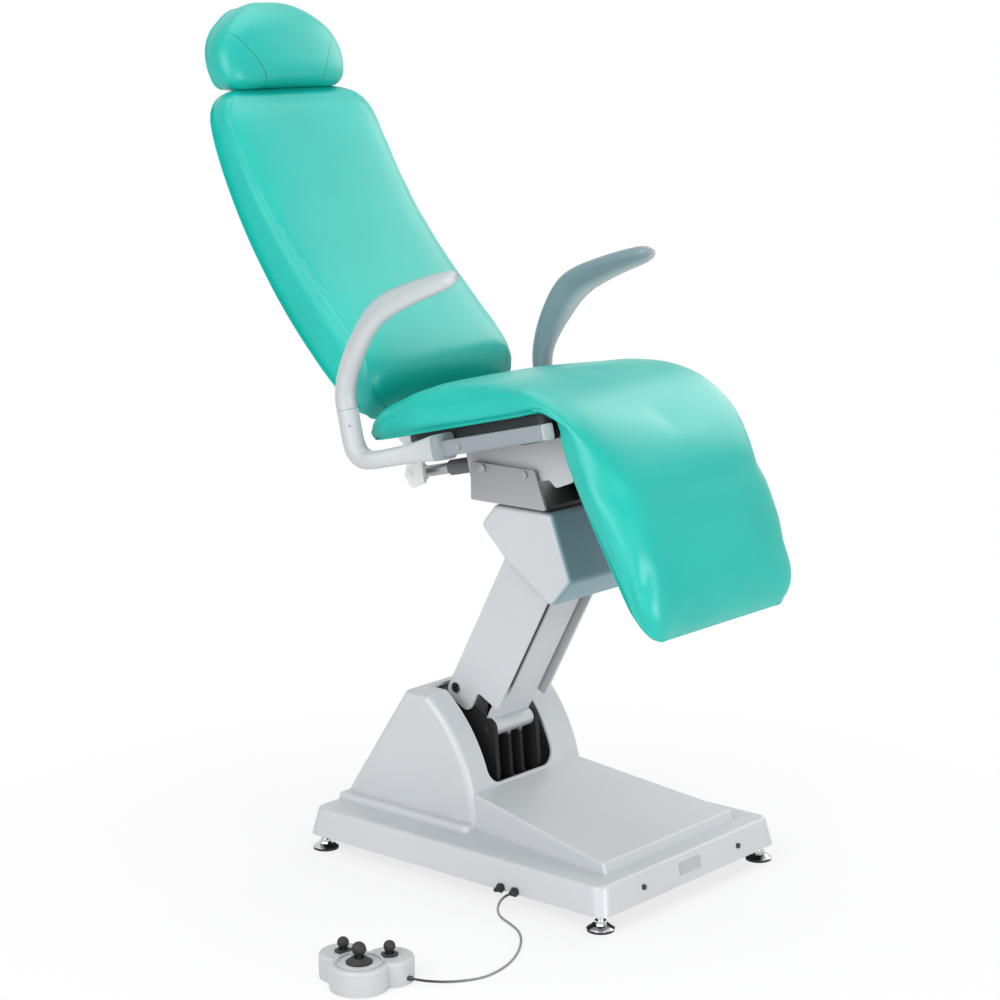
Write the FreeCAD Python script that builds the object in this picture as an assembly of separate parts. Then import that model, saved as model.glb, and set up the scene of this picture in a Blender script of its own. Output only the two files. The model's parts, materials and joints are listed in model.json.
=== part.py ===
"""Electrically lifted treatment chair with foot control.

Millimetres. The chair faces -Y, +X is the sitter's left and +Z is up. The origin is on the
floor under the middle of the base. The seat group is drawn level about its tilt pivot and then
turned to the tilt that the chair is shown at.
"""
import FreeCAD, Part
import os
from math import acos, atan2, cos, degrees, hypot, pi, radians, sin, tan

V = FreeCAD.Vector

# Fits
RUN = 0.05            # radial running clearance of a pin or rod
GAP = 0.3             # clearance between neighbours that must not touch
SIDE_GAP = 0.2        # side clearance between a turning plate and the head or flange beside it

# Base plinth and cover
BASE_W = 520.0
BASE_L = 719.0
SKIRT_Z = 31.0
PLINTH_TOP = 83.0
PLINTH_DRAFT = 10.0
PLINTH_CORNER = 24.0
PLINTH_EDGE = 8.0
COVER_WALL = 5.0
STEP_HALF_W = BASE_W / 2 - 74.0
STEP_TOP = 95.0
STEP_FRONT = 20.0
STEP_REAR = 352.0
STEP_EDGE = 9.0
DECK_REAR_Y = 28.0
DECK_REAR_Z = 149.0
DECK_FRONT_Y = -305.0
DECK_FRONT_Z = 101.0
DECK_HALF_REAR = BASE_W / 2 - 108.0
DECK_HALF_FRONT = BASE_W / 2 - 68.0
DECK_EDGE = 5.0
TOWER_HALF_W = BASE_W / 2 - 100.0
TOWER_TOP = 317.0
TOWER_TOP_REAR = 195.0
TOWER_TOP_FRONT = 139.0
TOWER_FOOT_REAR = 349.0
TOWER_FOOT_FRONT = 23.0
TOWER_BULGE = (58.0, 223.0)
TOWER_EDGE = 12.0
SLOT_RIGHT = -104.0     # the slot is wider on the side of the foot control
SLOT_LEFT = 82.0
SLOT_BOTTOM = 152.5
SLOT_REAR = 180.0
SLOT_CORNER = 30.0
COVER_SCREW_X = 140.0
COVER_SCREW_Z = 56.0
COVER_SCREW_R = 5.0
PLATE_SPAN = (-36.0, 26.0)
PLATE_HEIGHT = (48.0, 70.0)
PLATE_T = 0.8

# Feet
FOOT_INSET = 25.0
FOOT_R = 25.0
PAD_H = 5.0
FOOT_DISC_H = 7.0
FOOT_STUD_R = 6.0

# Chassis
FLOOR_Z = 37.0
FLOOR_T = 6.0
UPRIGHT_IN = 53.5
UPRIGHT_T = 10.0
UPRIGHT_BOSS = 19.0
RUNNER_X = BASE_W / 2 - 64.0
RUNNER_W = 36.0

# Lift parallelogram
PIVOT_A = (143.0, 314.0)
ARM_ANGLE = 61.5
ARM_LENGTH = 370.0
LINK_SPACING = 93.0
LINK_STAGGER = -30.0
LINK_HALF_W = 70.0
LINK_REAR = -19.0
LINK_FRONT = 101.0
LINK_PLATE = 5.0
LINK_WEB_END = 28.0   # web stops short of each pivot to clear the bosses between the plates
FRONT_HALF_W = 52.0
FRONT_HALF_D = 17.0
FRONT_RECESS = 12.0   # face of the front link behind the edges of the rear link
FRONT_WALL = 4.0
LIFT_PIN_D = 16.0
PIN_HEAD_R = 10.0
PIN_HEAD_T = 4.0
CRANK_R = 130.0
CRANK_ELBOW = 104.0   # drop of the crank's bend below its pivot
CRANK_TURN = 24.5     # lift travel from mid stroke to the pose shown
LIFT_HALF_TURN = 27.5
CRANK_HALF_GAP = 12.0
CRANK_PLATE = 8.0
ACT_SLOPE = 8.0       # lift actuator's climb under the sloping deck
LIFT_ROD_R = 10.0
LIFT_BODY_R = 20.0
LIFT_BODY_L = 240.0
CRANK_PIN_R = 7.0

# Head and tilt bracket, set out from the rear link's upper pivot to the whole millimetre
HEAD_Y = round(PIVOT_A[0] - ARM_LENGTH * cos(radians(ARM_ANGLE)))
HEAD_TOP = round(PIVOT_A[1] + ARM_LENGTH * sin(radians(ARM_ANGLE)) + 46.8)
HEAD_HALF_W = 110.0
HEAD_WALL = 5.0
HEAD_EDGE = 10.0
HEAD_NOTCH = 76.0
CAP_FRONT = HEAD_Y - 78.0
GASKET_T = 6.0
BRACKET_HALF_W = 120.0
BRACKET_T = 5.0
BRACKET_REAR = HEAD_Y + 91.0
BRACKET_FRONT_LOW = HEAD_Y - 86.0
BRACKET_FRONT_HIGH = HEAD_Y - 59.0
BRACKET_TOP = HEAD_TOP + 76.0
BRACKET_SCREW_R = 4.0
BRACKET_SCREW_HEAD = 6.5
TILT_Y = HEAD_Y + 61.0
TILT_Z = HEAD_TOP + 66.0
TILT = 13.0
TILT_PIN_R = 5.5
TILT_CRANK = 40.0
TILT_CRANK_PIN_R = 5.0
TILT_ACT_X = 85.0
TILT_ROD_R = 6.0
TILT_BODY_R = 13.0
TILT_BODY_L = 98.0
TILT_BODY_END = TILT_Y - 39.0

# Seat frame, in the level seat frame about the tilt pivot
GUSSET_OUT = 108.0
GUSSET_T = 6.0
RAIL_X = 230.0
RAIL_W = 26.0
RAIL_LOW = 36.0
RAIL_HIGH = 64.0
RAIL_FRONT = -261.0
RAIL_REAR = 35.0
TUBE_LOW = 34.0
TUBE_TOP = 62.0
TUBE_W = 30.0
TUBE_REAR_Y = 20.0
TUBE_FRONT_Y = -200.0
BOARD_T = 20.0
BOARD_HALF_W = 200.0
BOARD_REAR = 122.0
BOARD_FRONT = -236.0
BACK_HINGE = (167.0, 57.0)
BACK_EAR_X = 92.0
EAR_T = 8.0
BACK_SHAFT_R = 8.0
KNEE = (-262.0, 56.0)
KNEE_EAR_X = 150.0
KNEE_PIN_R = 6.0
NOSE_R = 46.0
NOSE_INNER_R = 20.0

# Small actuators of the back and leg rests
SMALL_BODY_R = 18.0
SMALL_ROD_R = 8.0
SMALL_PIN_R = 6.0
EYE_PLATE = 10.0
BACK_ACT_X = -80.0
BACK_CRANK = 53.2
BACK_CRANK_AT = -64.0
BACK_BODY = (-25.0, 112.0)
LEG_CRANK = 55.0
LEG_CRANK_AT = -51.0
LEG_BODY = (-195.0, -35.0)
LEG_LUG_Y = -188.0
LEG_ROD_HELD = 95.0
LEG_HALF_TURN = 39.0
BACK_BODY_R = 14.5
BACK_ROD_R = 10.5
BACK_ROD_HELD = 30.0
BACK_HALF_TURN = 36.0

# Arm rests
POST_X = 273.0
POST_Y = 158.0
POST_R = 19.5
ARM_JOINT_Z = 149.0
ARM_LINE_GAP = 0.4
SPIGOT_R = 12.0
SPIGOT_H = 30.0
COLLAR_Y = -25.0
COLLAR_W = 46.0
COLLAR_H = 47.0
COLLAR_Z = 53.5
BAR_H = 31.0
BAR_W = 42.0
BEND_R = 45.0

# Cushions and back rest
SEAT_HALF_W = 236.0
SEAT_REAR = 162.0
SEAT_CROWN = 75.0
KNEE_ARC_R = 280.0
KNEE_ARC_C = (-110.0, -124.0)
LEG_LEAN = 15.7
LEG_LENGTH = 408.0
LEG_HALF_W = 228.0
LEG_THICK = 83.0
LEG_BOARD_T = 13.0
LEG_BOARD_HALF_W = 190.0
BACK_CURVE = ((203.0, 130.0), (372.0, 400.0), (463.0, 775.0))
BACK_PANEL_T = 12.0
BACK_HALF_LOW = 204.0
BACK_HALF_TOP = 202.0
BACK_THICK = 115.0
BACK_ARM_X = 104.0
BACK_ARM_T = 8.0
HEAD_HALF = 172.0
HEAD_LOW = 782.0
HEAD_HIGH = 953.0
HEAD_THICK = 109.0
SLIDE_LEAN = 4.0
STEM_X = 55.0
STEM_R = 6.0
STEM_Y = 489.0
STEM_LOW = 655.0
STEM_HIGH = 880.0

# Foot control and its cord, set out from the base's right side
SIDE = -BASE_W / 2
PEDAL_L = (SIDE - 406.0, -138.0)
PEDAL_R = (SIDE - 369.0, -208.0)
PEDAL_F = (SIDE - 424.0, -192.0)
PEDAL_LOBE_R = 41.0
PEDAL_LOBE_F = 50.0
PEDAL_FOOT_H = 2.0
PEDAL_PLATE_H = 6.0
PEDAL_TOP = 44.0
PEDAL_WALL = 3.0
PEDAL_EDGE = 6.0
RING_R = 40.0
RING_W = 5.0
RING_H = 4.0
STICK_R = 4.0
STICK_BALL_R = 5.0
STICK_DEPTH = 8.0       # ball joint below the top of the foot control
STICK_LEAN = 12.0
KNOB_R = 10.0
KNOB_RISE = 15.0
GAITER_R = 14.5
GAITER_H = 2.0
BIG_KNOB_R = 12.0
BIG_KNOB_RISE = 23.0
BIG_GAITER_R = 22.0
BIG_GAITER_H = 7.0
GAITER_FLANGE = 2.0
CORD_R = 2.2
GLAND_Y = -162.0
MAINS_Y = -129.0
GLAND_Z = 36.0
GLAND_R = 9.0
GLAND_L = 14.0
BOOT_L = 20.0
BOOT_R = 4.2
CORD_FLOOR = CORD_R + 0.1
CORD_ROUTE = (
    (SIDE - 14.0, GLAND_Y, GLAND_Z), (SIDE - 27.0, GLAND_Y, GLAND_Z),
    (SIDE - 37.0, GLAND_Y + 4.0, GLAND_Z - 8.5), (SIDE - 41.0, GLAND_Y + 6.0, 16.0),
    (SIDE - 44.0, GLAND_Y + 1.5, 6.5), (SIDE - 48.0, -174.0, CORD_FLOOR),
    (SIDE - 57.0, -199.0, CORD_FLOOR), (SIDE - 74.0, -234.0, CORD_FLOOR), (SIDE - 104.0, -266.0, CORD_FLOOR),
    (SIDE - 151.0, -298.0, CORD_FLOOR), (SIDE - 203.0, -320.0, CORD_FLOOR), (SIDE - 257.0, -326.0, CORD_FLOOR),
    (SIDE - 290.0, -314.0, CORD_FLOOR), (SIDE - 318.0, -294.0, 3.0), (SIDE - 338.0, -279.0, 6.0),
    (SIDE - 353.0, -267.0, 9.0), (SIDE - 363.0, -254.0, 12.0),
)


def line(a, b):
    return Part.LineSegment(a, b).toShape()


def arc(a, b, c):
    return Part.Arc(a, b, c).toShape()


def outline(points, radius, place):
    """Closed wire through 2-D points, with each corner rounded to its radius."""
    count = len(points)
    radii = radius if isinstance(radius, (list, tuple)) else [radius] * count
    edges = []
    first = last = None
    for i, (cx, cy) in enumerate(points):
        px, py = points[i - 1]
        nx, ny = points[(i + 1) % count]
        lead, trail = hypot(px - cx, py - cy), hypot(nx - cx, ny - cy)
        ax, ay = (px - cx) / lead, (py - cy) / lead
        bx, by = (nx - cx) / trail, (ny - cy) / trail
        enter = leave = (cx, cy)
        if radii[i] > 0:
            half = acos(max(-1.0, min(1.0, ax * bx + ay * by))) / 2
            run = radii[i] / tan(half)
            enter = (cx + ax * run, cy + ay * run)
            leave = (cx + bx * run, cy + by * run)
            mx, my = ax + bx, ay + by
            reach = (radii[i] / sin(half) - radii[i]) / hypot(mx, my)
            middle = (cx + mx * reach, cy + my * reach)
        if last is None:
            first = enter
        else:
            edges.append(line(place(*last), place(*enter)))
        if radii[i] > 0:
            edges.append(arc(place(*enter), place(*middle), place(*leave)))
        last = leave
    edges.append(line(place(*last), place(*first)))
    return Part.Wire(edges)


def slab_x(points, x0, x1, radius=0.0):
    wire = outline(points, radius, lambda y, z: V(x0, y, z))
    return Part.Face(wire).extrude(V(x1 - x0, 0, 0))


def slab_y(points, y0, y1, radius=0.0):
    wire = outline(points, radius, lambda x, z: V(x, y0, z))
    return Part.Face(wire).extrude(V(0, y1 - y0, 0))


def slab_z(points, z0, z1, radius=0.0):
    wire = outline(points, radius, lambda x, y: V(x, y, z0))
    return Part.Face(wire).extrude(V(0, 0, z1 - z0))


def block(x0, x1, y0, y1, z0, z1):
    return Part.makeBox(x1 - x0, y1 - y0, z1 - z0, V(x0, y0, z0))


def rod(start, end, radius):
    span = end - start
    return Part.makeCylinder(radius, span.Length, start, span)


def rod_x(at, radius, x0, x1):
    return Part.makeCylinder(radius, x1 - x0, V(x0, at[0], at[1]), V(1, 0, 0))


def ring_x(at, outer, inner, x0, x1):
    return rod_x(at, outer, x0, x1).cut(rod_x(at, inner, x0, x1))


def rectangle(half_w, y0, y1):
    return [(-half_w, y0), (half_w, y0), (half_w, y1), (-half_w, y1)]


def mirrored(shape):
    return shape.mirror(V(0, 0, 0), V(1, 0, 0))


def pair(shape):
    return [shape, mirrored(shape)]


def joined(shapes):
    return shapes[0].multiFuse(shapes[1:]).removeSplitter()


def polar(centre, radius, angle):
    return (centre[0] + radius * cos(radians(angle)), centre[1] + radius * sin(radians(angle)))


def seated(shape):
    """Turn a piece drawn in the level seat frame to the tilt shown and set it on the pivot."""
    placed = shape.copy()
    placed.rotate(V(0, 0, 0), V(1, 0, 0), -TILT)
    placed.translate(V(0, TILT_Y, TILT_Z))
    return placed


def loft(wires, ruled=False):
    return Part.makeLoft(wires, True, ruled)


def padded_section(origin, up, half_w, height, tuck=6.0, shoulder=0.78):
    """Cushion section: flat base, drawn-in bulging sides and a crowned top."""
    def at(x, h):
        return origin + V(x, 0, 0) + up * h
    side = min(10.0, 0.3 * height)
    low, wide, high = half_w - min(tuck, 0.3 * height), half_w, half_w - side
    base = line(at(-low, 0), at(low, 0))
    right = arc(at(low, 0), at(wide, 0.42 * height), at(high, shoulder * height))
    crown = arc(at(high, shoulder * height), at(0, height), at(-high, shoulder * height))
    left = arc(at(-high, shoulder * height), at(-wide, 0.42 * height), at(-low, 0))
    return Part.Wire([base, right, crown, left])


def rounded_section(centre, across, up, width, height, corner):
    """Rounded rectangle of a bar, from its centre and its two directions."""
    r = min(corner, width / 2 - 0.5, height / 2 - 0.5)
    points = [(-width / 2, -height / 2), (width / 2, -height / 2),
              (width / 2, height / 2), (-width / 2, height / 2)]
    return outline(points, r, lambda a, b: centre + across * a + up * b)


def export(name, shape):
    shapes = shape if isinstance(shape, list) else [shape]
    whole = Part.makeCompound(shapes) if len(shapes) > 1 else shapes[0]
    whole.exportStep("parts/%s.step" % name)


# Lift geometry shared by the base, links and head
ARM_T = (-cos(radians(ARM_ANGLE)), sin(radians(ARM_ANGLE)))
ARM_N = (-sin(radians(ARM_ANGLE)), -cos(radians(ARM_ANGLE)))


def on_arm(n, t):
    """Side-view point from the distance in front of and along the rear link's pivot line."""
    return (PIVOT_A[0] + n * ARM_N[0] + t * ARM_T[0], PIVOT_A[1] + n * ARM_N[1] + t * ARM_T[1])


PIVOT_B = on_arm(0, ARM_LENGTH)
PIVOT_D = on_arm(LINK_SPACING, LINK_STAGGER)
PIVOT_C = on_arm(LINK_SPACING, LINK_STAGGER + ARM_LENGTH)
CRANK_MID = -90.0 + ACT_SLOPE
CRANK_PIN = polar(PIVOT_D, CRANK_R, CRANK_MID - CRANK_TURN)
PIN_R = LIFT_PIN_D / 2
UPRIGHT_OUT = UPRIGHT_IN + UPRIGHT_T
ACT_DIR = (cos(radians(ACT_SLOPE)), sin(radians(ACT_SLOPE)))
ACT_DROP = CRANK_R * (1 + cos(radians(LIFT_HALF_TURN))) / 2
ACT_FOOT = polar(PIVOT_D, ACT_DROP, CRANK_MID)


def on_actuator(s, h=0.0):
    """Side-view point along the lift actuator's axis, h above it."""
    return (ACT_FOOT[0] + s * ACT_DIR[0] - h * ACT_DIR[1],
            ACT_FOOT[1] + s * ACT_DIR[1] + h * ACT_DIR[0])


CRANK_PIN_S = (CRANK_PIN[0] - ACT_FOOT[0]) * ACT_DIR[0] + (CRANK_PIN[1] - ACT_FOOT[1]) * ACT_DIR[1]
LIFT_BODY_END = CRANK_PIN_S - 56.0
LIFT_BODY_START = LIFT_BODY_END - LIFT_BODY_L


def side_point(at, x=0.0):
    return V(x, at[0], at[1])


def slotted_eye(pin_y, axis_z, travel, pin_r, wall, x0, x1):
    """Rod end whose slot lets the crank pin rise and fall on a straight rod, drawn along Y."""
    half = travel + pin_r + 1.0
    width = pin_r + 1.6
    outer = [(pin_y - width - wall, axis_z - half - wall), (pin_y + width + wall, axis_z - half - wall),
             (pin_y + width + wall, axis_z + half + wall), (pin_y - width - wall, axis_z + half + wall)]
    inner = [(pin_y - width, axis_z - half), (pin_y + width, axis_z - half),
             (pin_y + width, axis_z + half), (pin_y - width, axis_z + half)]
    return slab_x(outer, x0, x1, width).cut(slab_x(inner, x0, x1, width - 0.5))


# Base cover
def skirt_inset(z):
    """How far the drafted skirt has drawn in at a height."""
    return PLINTH_DRAFT * (z - SKIRT_Z) / (PLINTH_TOP - SKIRT_Z)


def plinth_body(inset, z0, z1):
    def ring(z):
        draft = skirt_inset(z) + inset
        corner = max(PLINTH_CORNER - inset, 2.0)
        points = rectangle(BASE_W / 2 - draft, -BASE_L / 2 + draft, BASE_L / 2 - draft)
        return outline(points, corner, lambda x, y: V(x, y, z))
    return loft([ring(z0), ring(z1)], True)


def deck_body(inset, z0):
    slope = (DECK_REAR_Z - DECK_FRONT_Z) / (DECK_REAR_Y - DECK_FRONT_Y)
    back = DECK_REAR_Y + 12.0
    top_back = DECK_REAR_Z + slope * (back - DECK_REAR_Y) - inset
    front = DECK_FRONT_Y + inset
    profile = slab_x([(back, z0), (back, top_back), (front, DECK_FRONT_Z - inset), (front - 8.0, z0)],
                     -BASE_W / 2, BASE_W / 2)
    plan = slab_z([(-DECK_HALF_REAR + inset, back), (DECK_HALF_REAR - inset, back),
                   (DECK_HALF_FRONT - inset, front - 8.0), (-DECK_HALF_FRONT + inset, front - 8.0)],
                  z0, DECK_REAR_Z + 40.0)
    deck = profile.common(plan)
    if inset > 0:
        return deck
    brow = [e for e in deck.Edges if e.BoundBox.ZMax > DECK_FRONT_Z - 0.5 and e.BoundBox.YMin < DECK_REAR_Y]
    return deck.makeFillet(DECK_EDGE, brow)


def tower_body(inset, z0):
    rear_run = (TOWER_FOOT_REAR - TOWER_TOP_REAR) / (TOWER_TOP - STEP_TOP)
    foot = TOWER_FOOT_REAR + rear_run * (STEP_TOP - z0)
    x0 = -TOWER_HALF_W + inset

    def at(y, z):
        return V(x0, y, z)
    edges = [line(at(foot, z0), at(TOWER_TOP_REAR, TOWER_TOP)),
             line(at(TOWER_TOP_REAR, TOWER_TOP), at(TOWER_TOP_FRONT, TOWER_TOP)),
             arc(at(TOWER_TOP_FRONT, TOWER_TOP), at(*TOWER_BULGE), at(TOWER_FOOT_FRONT, STEP_TOP - 4.0)),
             line(at(TOWER_FOOT_FRONT, STEP_TOP - 4.0), at(TOWER_FOOT_FRONT, z0)),
             line(at(TOWER_FOOT_FRONT, z0), at(foot, z0))]
    face = Part.Face(Part.Wire(edges))
    if inset > 0:
        face = face.makeOffset2D(-inset)
    return face.extrude(V(2 * (TOWER_HALF_W - inset), 0, 0))


def make_base_cover():
    plinth = plinth_body(0.0, SKIRT_Z, PLINTH_TOP)
    top_edges = [e for e in plinth.Edges if e.BoundBox.ZMin > PLINTH_TOP - 0.01]
    plinth = plinth.makeFillet(PLINTH_EDGE, top_edges)
    tower = tower_body(0.0, PLINTH_TOP - 10.0)
    rim = [e for e in tower.Edges if abs(abs(e.BoundBox.XMin) - TOWER_HALF_W) < 0.01
           and e.BoundBox.XLength < 0.01 and e.BoundBox.ZMax > STEP_TOP]
    tower = tower.makeFillet(TOWER_EDGE, rim)
    step = slab_z(rectangle(STEP_HALF_W, STEP_FRONT, STEP_REAR), PLINTH_TOP - 10.0, STEP_TOP, 12.0)
    step = step.makeFillet(STEP_EDGE, [e for e in step.Edges if e.BoundBox.ZMin > STEP_TOP - 0.01])
    outer = joined([plinth, step, deck_body(0.0, PLINTH_TOP - 10.0), tower])
    hollow = joined([plinth_body(COVER_WALL, SKIRT_Z - 1.0, PLINTH_TOP - COVER_WALL),
                     deck_body(COVER_WALL, PLINTH_TOP - 20.0),
                     tower_body(COVER_WALL, PLINTH_TOP - 20.0)])
    slot_points = [(SLOT_RIGHT, SLOT_BOTTOM), (SLOT_LEFT, SLOT_BOTTOM),
                   (SLOT_LEFT, TOWER_TOP + 20.0), (SLOT_RIGHT, TOWER_TOP + 20.0)]
    slot = slab_y(slot_points, TOWER_FOOT_FRONT - 20.0, SLOT_REAR, [SLOT_CORNER, SLOT_CORNER, 0.0, 0.0])
    glands = [Part.makeCylinder(GLAND_R - 2.0 + GAP, 40.0, V(-BASE_W / 2 + 20.0, y, GLAND_Z), V(-1, 0, 0))
              for y in (GLAND_Y, MAINS_Y)]
    return outer.cut(hollow).cut(slot).cut(Part.makeCompound(glands + make_cover_screws()))


def make_cover_screws():
    face = -BASE_L / 2 + skirt_inset(COVER_SCREW_Z)
    return [Part.makeCylinder(COVER_SCREW_R, COVER_SCREW_R, V(x, face + 2.0, COVER_SCREW_Z), V(0, -1, 0))
            for x in (-COVER_SCREW_X, COVER_SCREW_X)]


def make_front_plate():
    """Bare plate on the front of the skirt."""
    sheet = plinth_body(-PLATE_T, SKIRT_Z, PLINTH_TOP).cut(plinth_body(0.0, SKIRT_Z, PLINTH_TOP))
    return sheet.common(block(*PLATE_SPAN, -BASE_L, 0.0, *PLATE_HEIGHT))


def make_base_chassis():
    top = FLOOR_Z + FLOOR_T
    inset = skirt_inset(top) + COVER_WALL
    half_w, half_l = BASE_W / 2 - inset, BASE_L / 2 - inset
    floor = slab_z(rectangle(half_w, -half_l, half_l), FLOOR_Z, top, PLINTH_CORNER - COVER_WALL)
    run = half_l - PLINTH_CORNER
    runners = pair(block(RUNNER_X, RUNNER_X + RUNNER_W, -run, run, top, PLINTH_TOP - COVER_WALL))
    upright = slab_x([(42.0, top), (212.0, top), (PIVOT_A[0] + UPRIGHT_BOSS, PIVOT_A[1]),
                      (PIVOT_D[0] - UPRIGHT_BOSS, PIVOT_D[1])], UPRIGHT_IN, UPRIGHT_OUT)
    bosses = [rod_x(at, UPRIGHT_BOSS, UPRIGHT_IN, UPRIGHT_OUT) for at in (PIVOT_A, PIVOT_D)]
    upright = joined([upright] + bosses)
    tie = block(-UPRIGHT_IN, UPRIGHT_IN, 180.0, 188.0, top, SLOT_BOTTOM)
    cradle_at = on_actuator(LIFT_BODY_START + 56.0)
    cradle = block(-30.0, 19.0, cradle_at[0] - 15.0, cradle_at[0] + 15.0, top, cradle_at[1])
    chassis = joined([floor, tie] + runners + pair(upright) + [cradle.cut(lift_body_rod())])
    bores = [rod_x(at, PIN_R, -BASE_W, BASE_W) for at in (PIVOT_A, PIVOT_D)]
    studs = [Part.makeCylinder(FOOT_STUD_R, 60.0, V(x, y, 0.0)) for x, y in foot_places()]
    notches = [block(-BASE_W / 2, -RUNNER_X - RUNNER_W, y - GLAND_R - 2.0, y + GLAND_R + 2.0, FLOOR_Z, top)
               for y in (GLAND_Y, MAINS_Y)]
    return chassis.cut(Part.makeCompound(bores + studs + notches))


def headed_pin(at):
    """Pin across the rear link, with a head outside each of the link's plates."""
    reach = LINK_HALF_W + SIDE_GAP
    heads = pair(rod_x(at, PIN_HEAD_R, reach, reach + PIN_HEAD_T))
    return joined([rod_x(at, PIN_R, -reach, reach)] + heads)


def plain_pin(at):
    return rod_x(at, PIN_R, -UPRIGHT_OUT, UPRIGHT_OUT)


def foot_places():
    x, y = BASE_W / 2 - FOOT_INSET, BASE_L / 2 - FOOT_INSET
    return [(sx * x, sy * y) for sx in (-1, 1) for sy in (-1, 1)]


def make_feet():
    feet, pads = [], []
    for x, y in foot_places():
        pads.append(Part.makeCylinder(FOOT_R - 1.0, PAD_H, V(x, y, 0.0)))
        disc = Part.makeCone(FOOT_R, FOOT_R * 0.6, FOOT_DISC_H, V(x, y, PAD_H))
        nut = slab_z([polar((x, y), 11.0, 60.0 * k) for k in range(6)],
                     PAD_H + FOOT_DISC_H, PAD_H + FOOT_DISC_H + 7.0)
        stud = Part.makeCylinder(FOOT_STUD_R, FLOOR_Z + FLOOR_T + 10.0 - PAD_H, V(x, y, PAD_H))
        feet.append(joined([disc, nut, stud]))
    return feet, pads


# Lift actuator under the deck, its rod and the driven front link
def lift_body_rod():
    return rod(side_point(on_actuator(LIFT_BODY_START)), side_point(on_actuator(LIFT_BODY_END)), LIFT_BODY_R)


def make_lift_actuator():
    tube = lift_body_rod()
    gear_a, gear_b = on_actuator(LIFT_BODY_START), on_actuator(LIFT_BODY_START + 30.0)
    gear = rod(side_point(gear_a, 24.0), side_point(gear_b, 24.0), LIFT_BODY_R + 4.0)
    motor = rod(side_point(gear_b, 46.0), side_point(on_actuator(LIFT_BODY_START + 130.0), 46.0),
                LIFT_BODY_R - 1.0)
    body = joined([tube, gear, motor])
    bore = rod(side_point(on_actuator(LIFT_BODY_END - 175.0)), side_point(on_actuator(LIFT_BODY_END + 5.0)),
               LIFT_ROD_R + RUN)
    return body.cut(bore)


def make_lift_rod():
    eye = slotted_eye(CRANK_PIN_S, 0.0, CRANK_R * (1 - cos(radians(LIFT_HALF_TURN))) / 2, CRANK_PIN_R, 4.0,
                      -CRANK_HALF_GAP + 2.0, CRANK_HALF_GAP - 2.0)
    stem = Part.makeCylinder(LIFT_ROD_R, 205.0, V(0, CRANK_PIN_S - 12.0, 0), V(0, -1, 0))
    half = CRANK_PIN_R + 2.0
    stem = stem.cut(block(-50.0, 50.0, CRANK_PIN_S - half, CRANK_PIN_S + 60.0, -60.0, 60.0))
    piece = joined([eye, stem])
    piece.rotate(V(0, 0, 0), V(1, 0, 0), ACT_SLOPE)
    piece.translate(V(0, ACT_FOOT[0], ACT_FOOT[1]))
    return piece


def arm_slab(points, x0, x1, radius=0.0):
    return slab_x([on_arm(n, t) for n, t in points], x0, x1, radius)


def make_rear_link():
    top = ARM_LENGTH + 26.0
    plate = arm_slab([(LINK_REAR, -26.0), (LINK_REAR, top), (8.0, top), (LINK_FRONT, ARM_LENGTH - 74.0),
                      (LINK_FRONT, 24.0), (47.0, 24.0), (47.0, -26.0)], LINK_HALF_W - LINK_PLATE, LINK_HALF_W,
                     [18.0, 20.0, 14.0, 24.0, 5.0, 8.0, 16.0])
    web = arm_slab([(LINK_REAR, LINK_WEB_END), (LINK_REAR, ARM_LENGTH - LINK_WEB_END),
                    (LINK_REAR + LINK_PLATE, ARM_LENGTH - LINK_WEB_END),
                     (LINK_REAR + LINK_PLATE, LINK_WEB_END)],
                   -LINK_HALF_W, LINK_HALF_W)
    link = joined([web] + pair(plate))
    return link.cut(Part.makeCompound([rod_x(at, PIN_R + RUN, -BASE_W, BASE_W) for at in (PIVOT_A, PIVOT_B)]))


def make_front_link():
    """Box bar between the lower and upper front pivots, with the bent crank that the actuator drives."""
    n0, n1 = LINK_SPACING - FRONT_HALF_D, LINK_FRONT - FRONT_RECESS
    t0, t1 = LINK_STAGGER, LINK_STAGGER + ARM_LENGTH
    bar = arm_slab([(n0, t0), (n0, t1), (n1, t1), (n1, t0)], -FRONT_HALF_W, FRONT_HALF_W)
    core = arm_slab([(n0 + FRONT_WALL, t0 + 24.0), (n0 + FRONT_WALL, t1 - 24.0),
                     (n1 - FRONT_WALL, t1 - 24.0), (n1 - FRONT_WALL, t0 + 24.0)],
                    -FRONT_HALF_W + FRONT_WALL, FRONT_HALF_W - FRONT_WALL)
    ends = [rod_x(at, FRONT_HALF_D, -FRONT_HALF_W, FRONT_HALF_W) for at in (PIVOT_D, PIVOT_C)]
    elbow = (PIVOT_D[0] - 8.0, PIVOT_D[1] - CRANK_ELBOW)
    crank = slab_x([(PIVOT_D[0] - 14.0, PIVOT_D[1]), (elbow[0] - 13.0, elbow[1] + 12.0),
                    (CRANK_PIN[0] - 12.0, CRANK_PIN[1] + 8.0), (CRANK_PIN[0] - 2.0, CRANK_PIN[1] - 13.0),
                    (elbow[0] + 15.0, elbow[1] - 12.0), (PIVOT_D[0] + 14.0, PIVOT_D[1])],
                   CRANK_HALF_GAP, CRANK_HALF_GAP + CRANK_PLATE, [0.0, 10.0, 8.0, 8.0, 20.0, 0.0])
    pin = rod_x(CRANK_PIN, CRANK_PIN_R, -CRANK_HALF_GAP - CRANK_PLATE, CRANK_HALF_GAP + CRANK_PLATE)
    link = joined([bar.cut(core)] + ends + pair(crank) + [pin])
    return link.cut(Part.makeCompound([rod_x(at, PIN_R + RUN, -BASE_W, BASE_W) for at in (PIVOT_D, PIVOT_C)]))


# Head housing, yoke and tilt bracket
def on_head(y, z):
    """Side-view point behind and above the head's upper pivot and top face."""
    return (HEAD_Y + y, HEAD_TOP + z)


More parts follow.
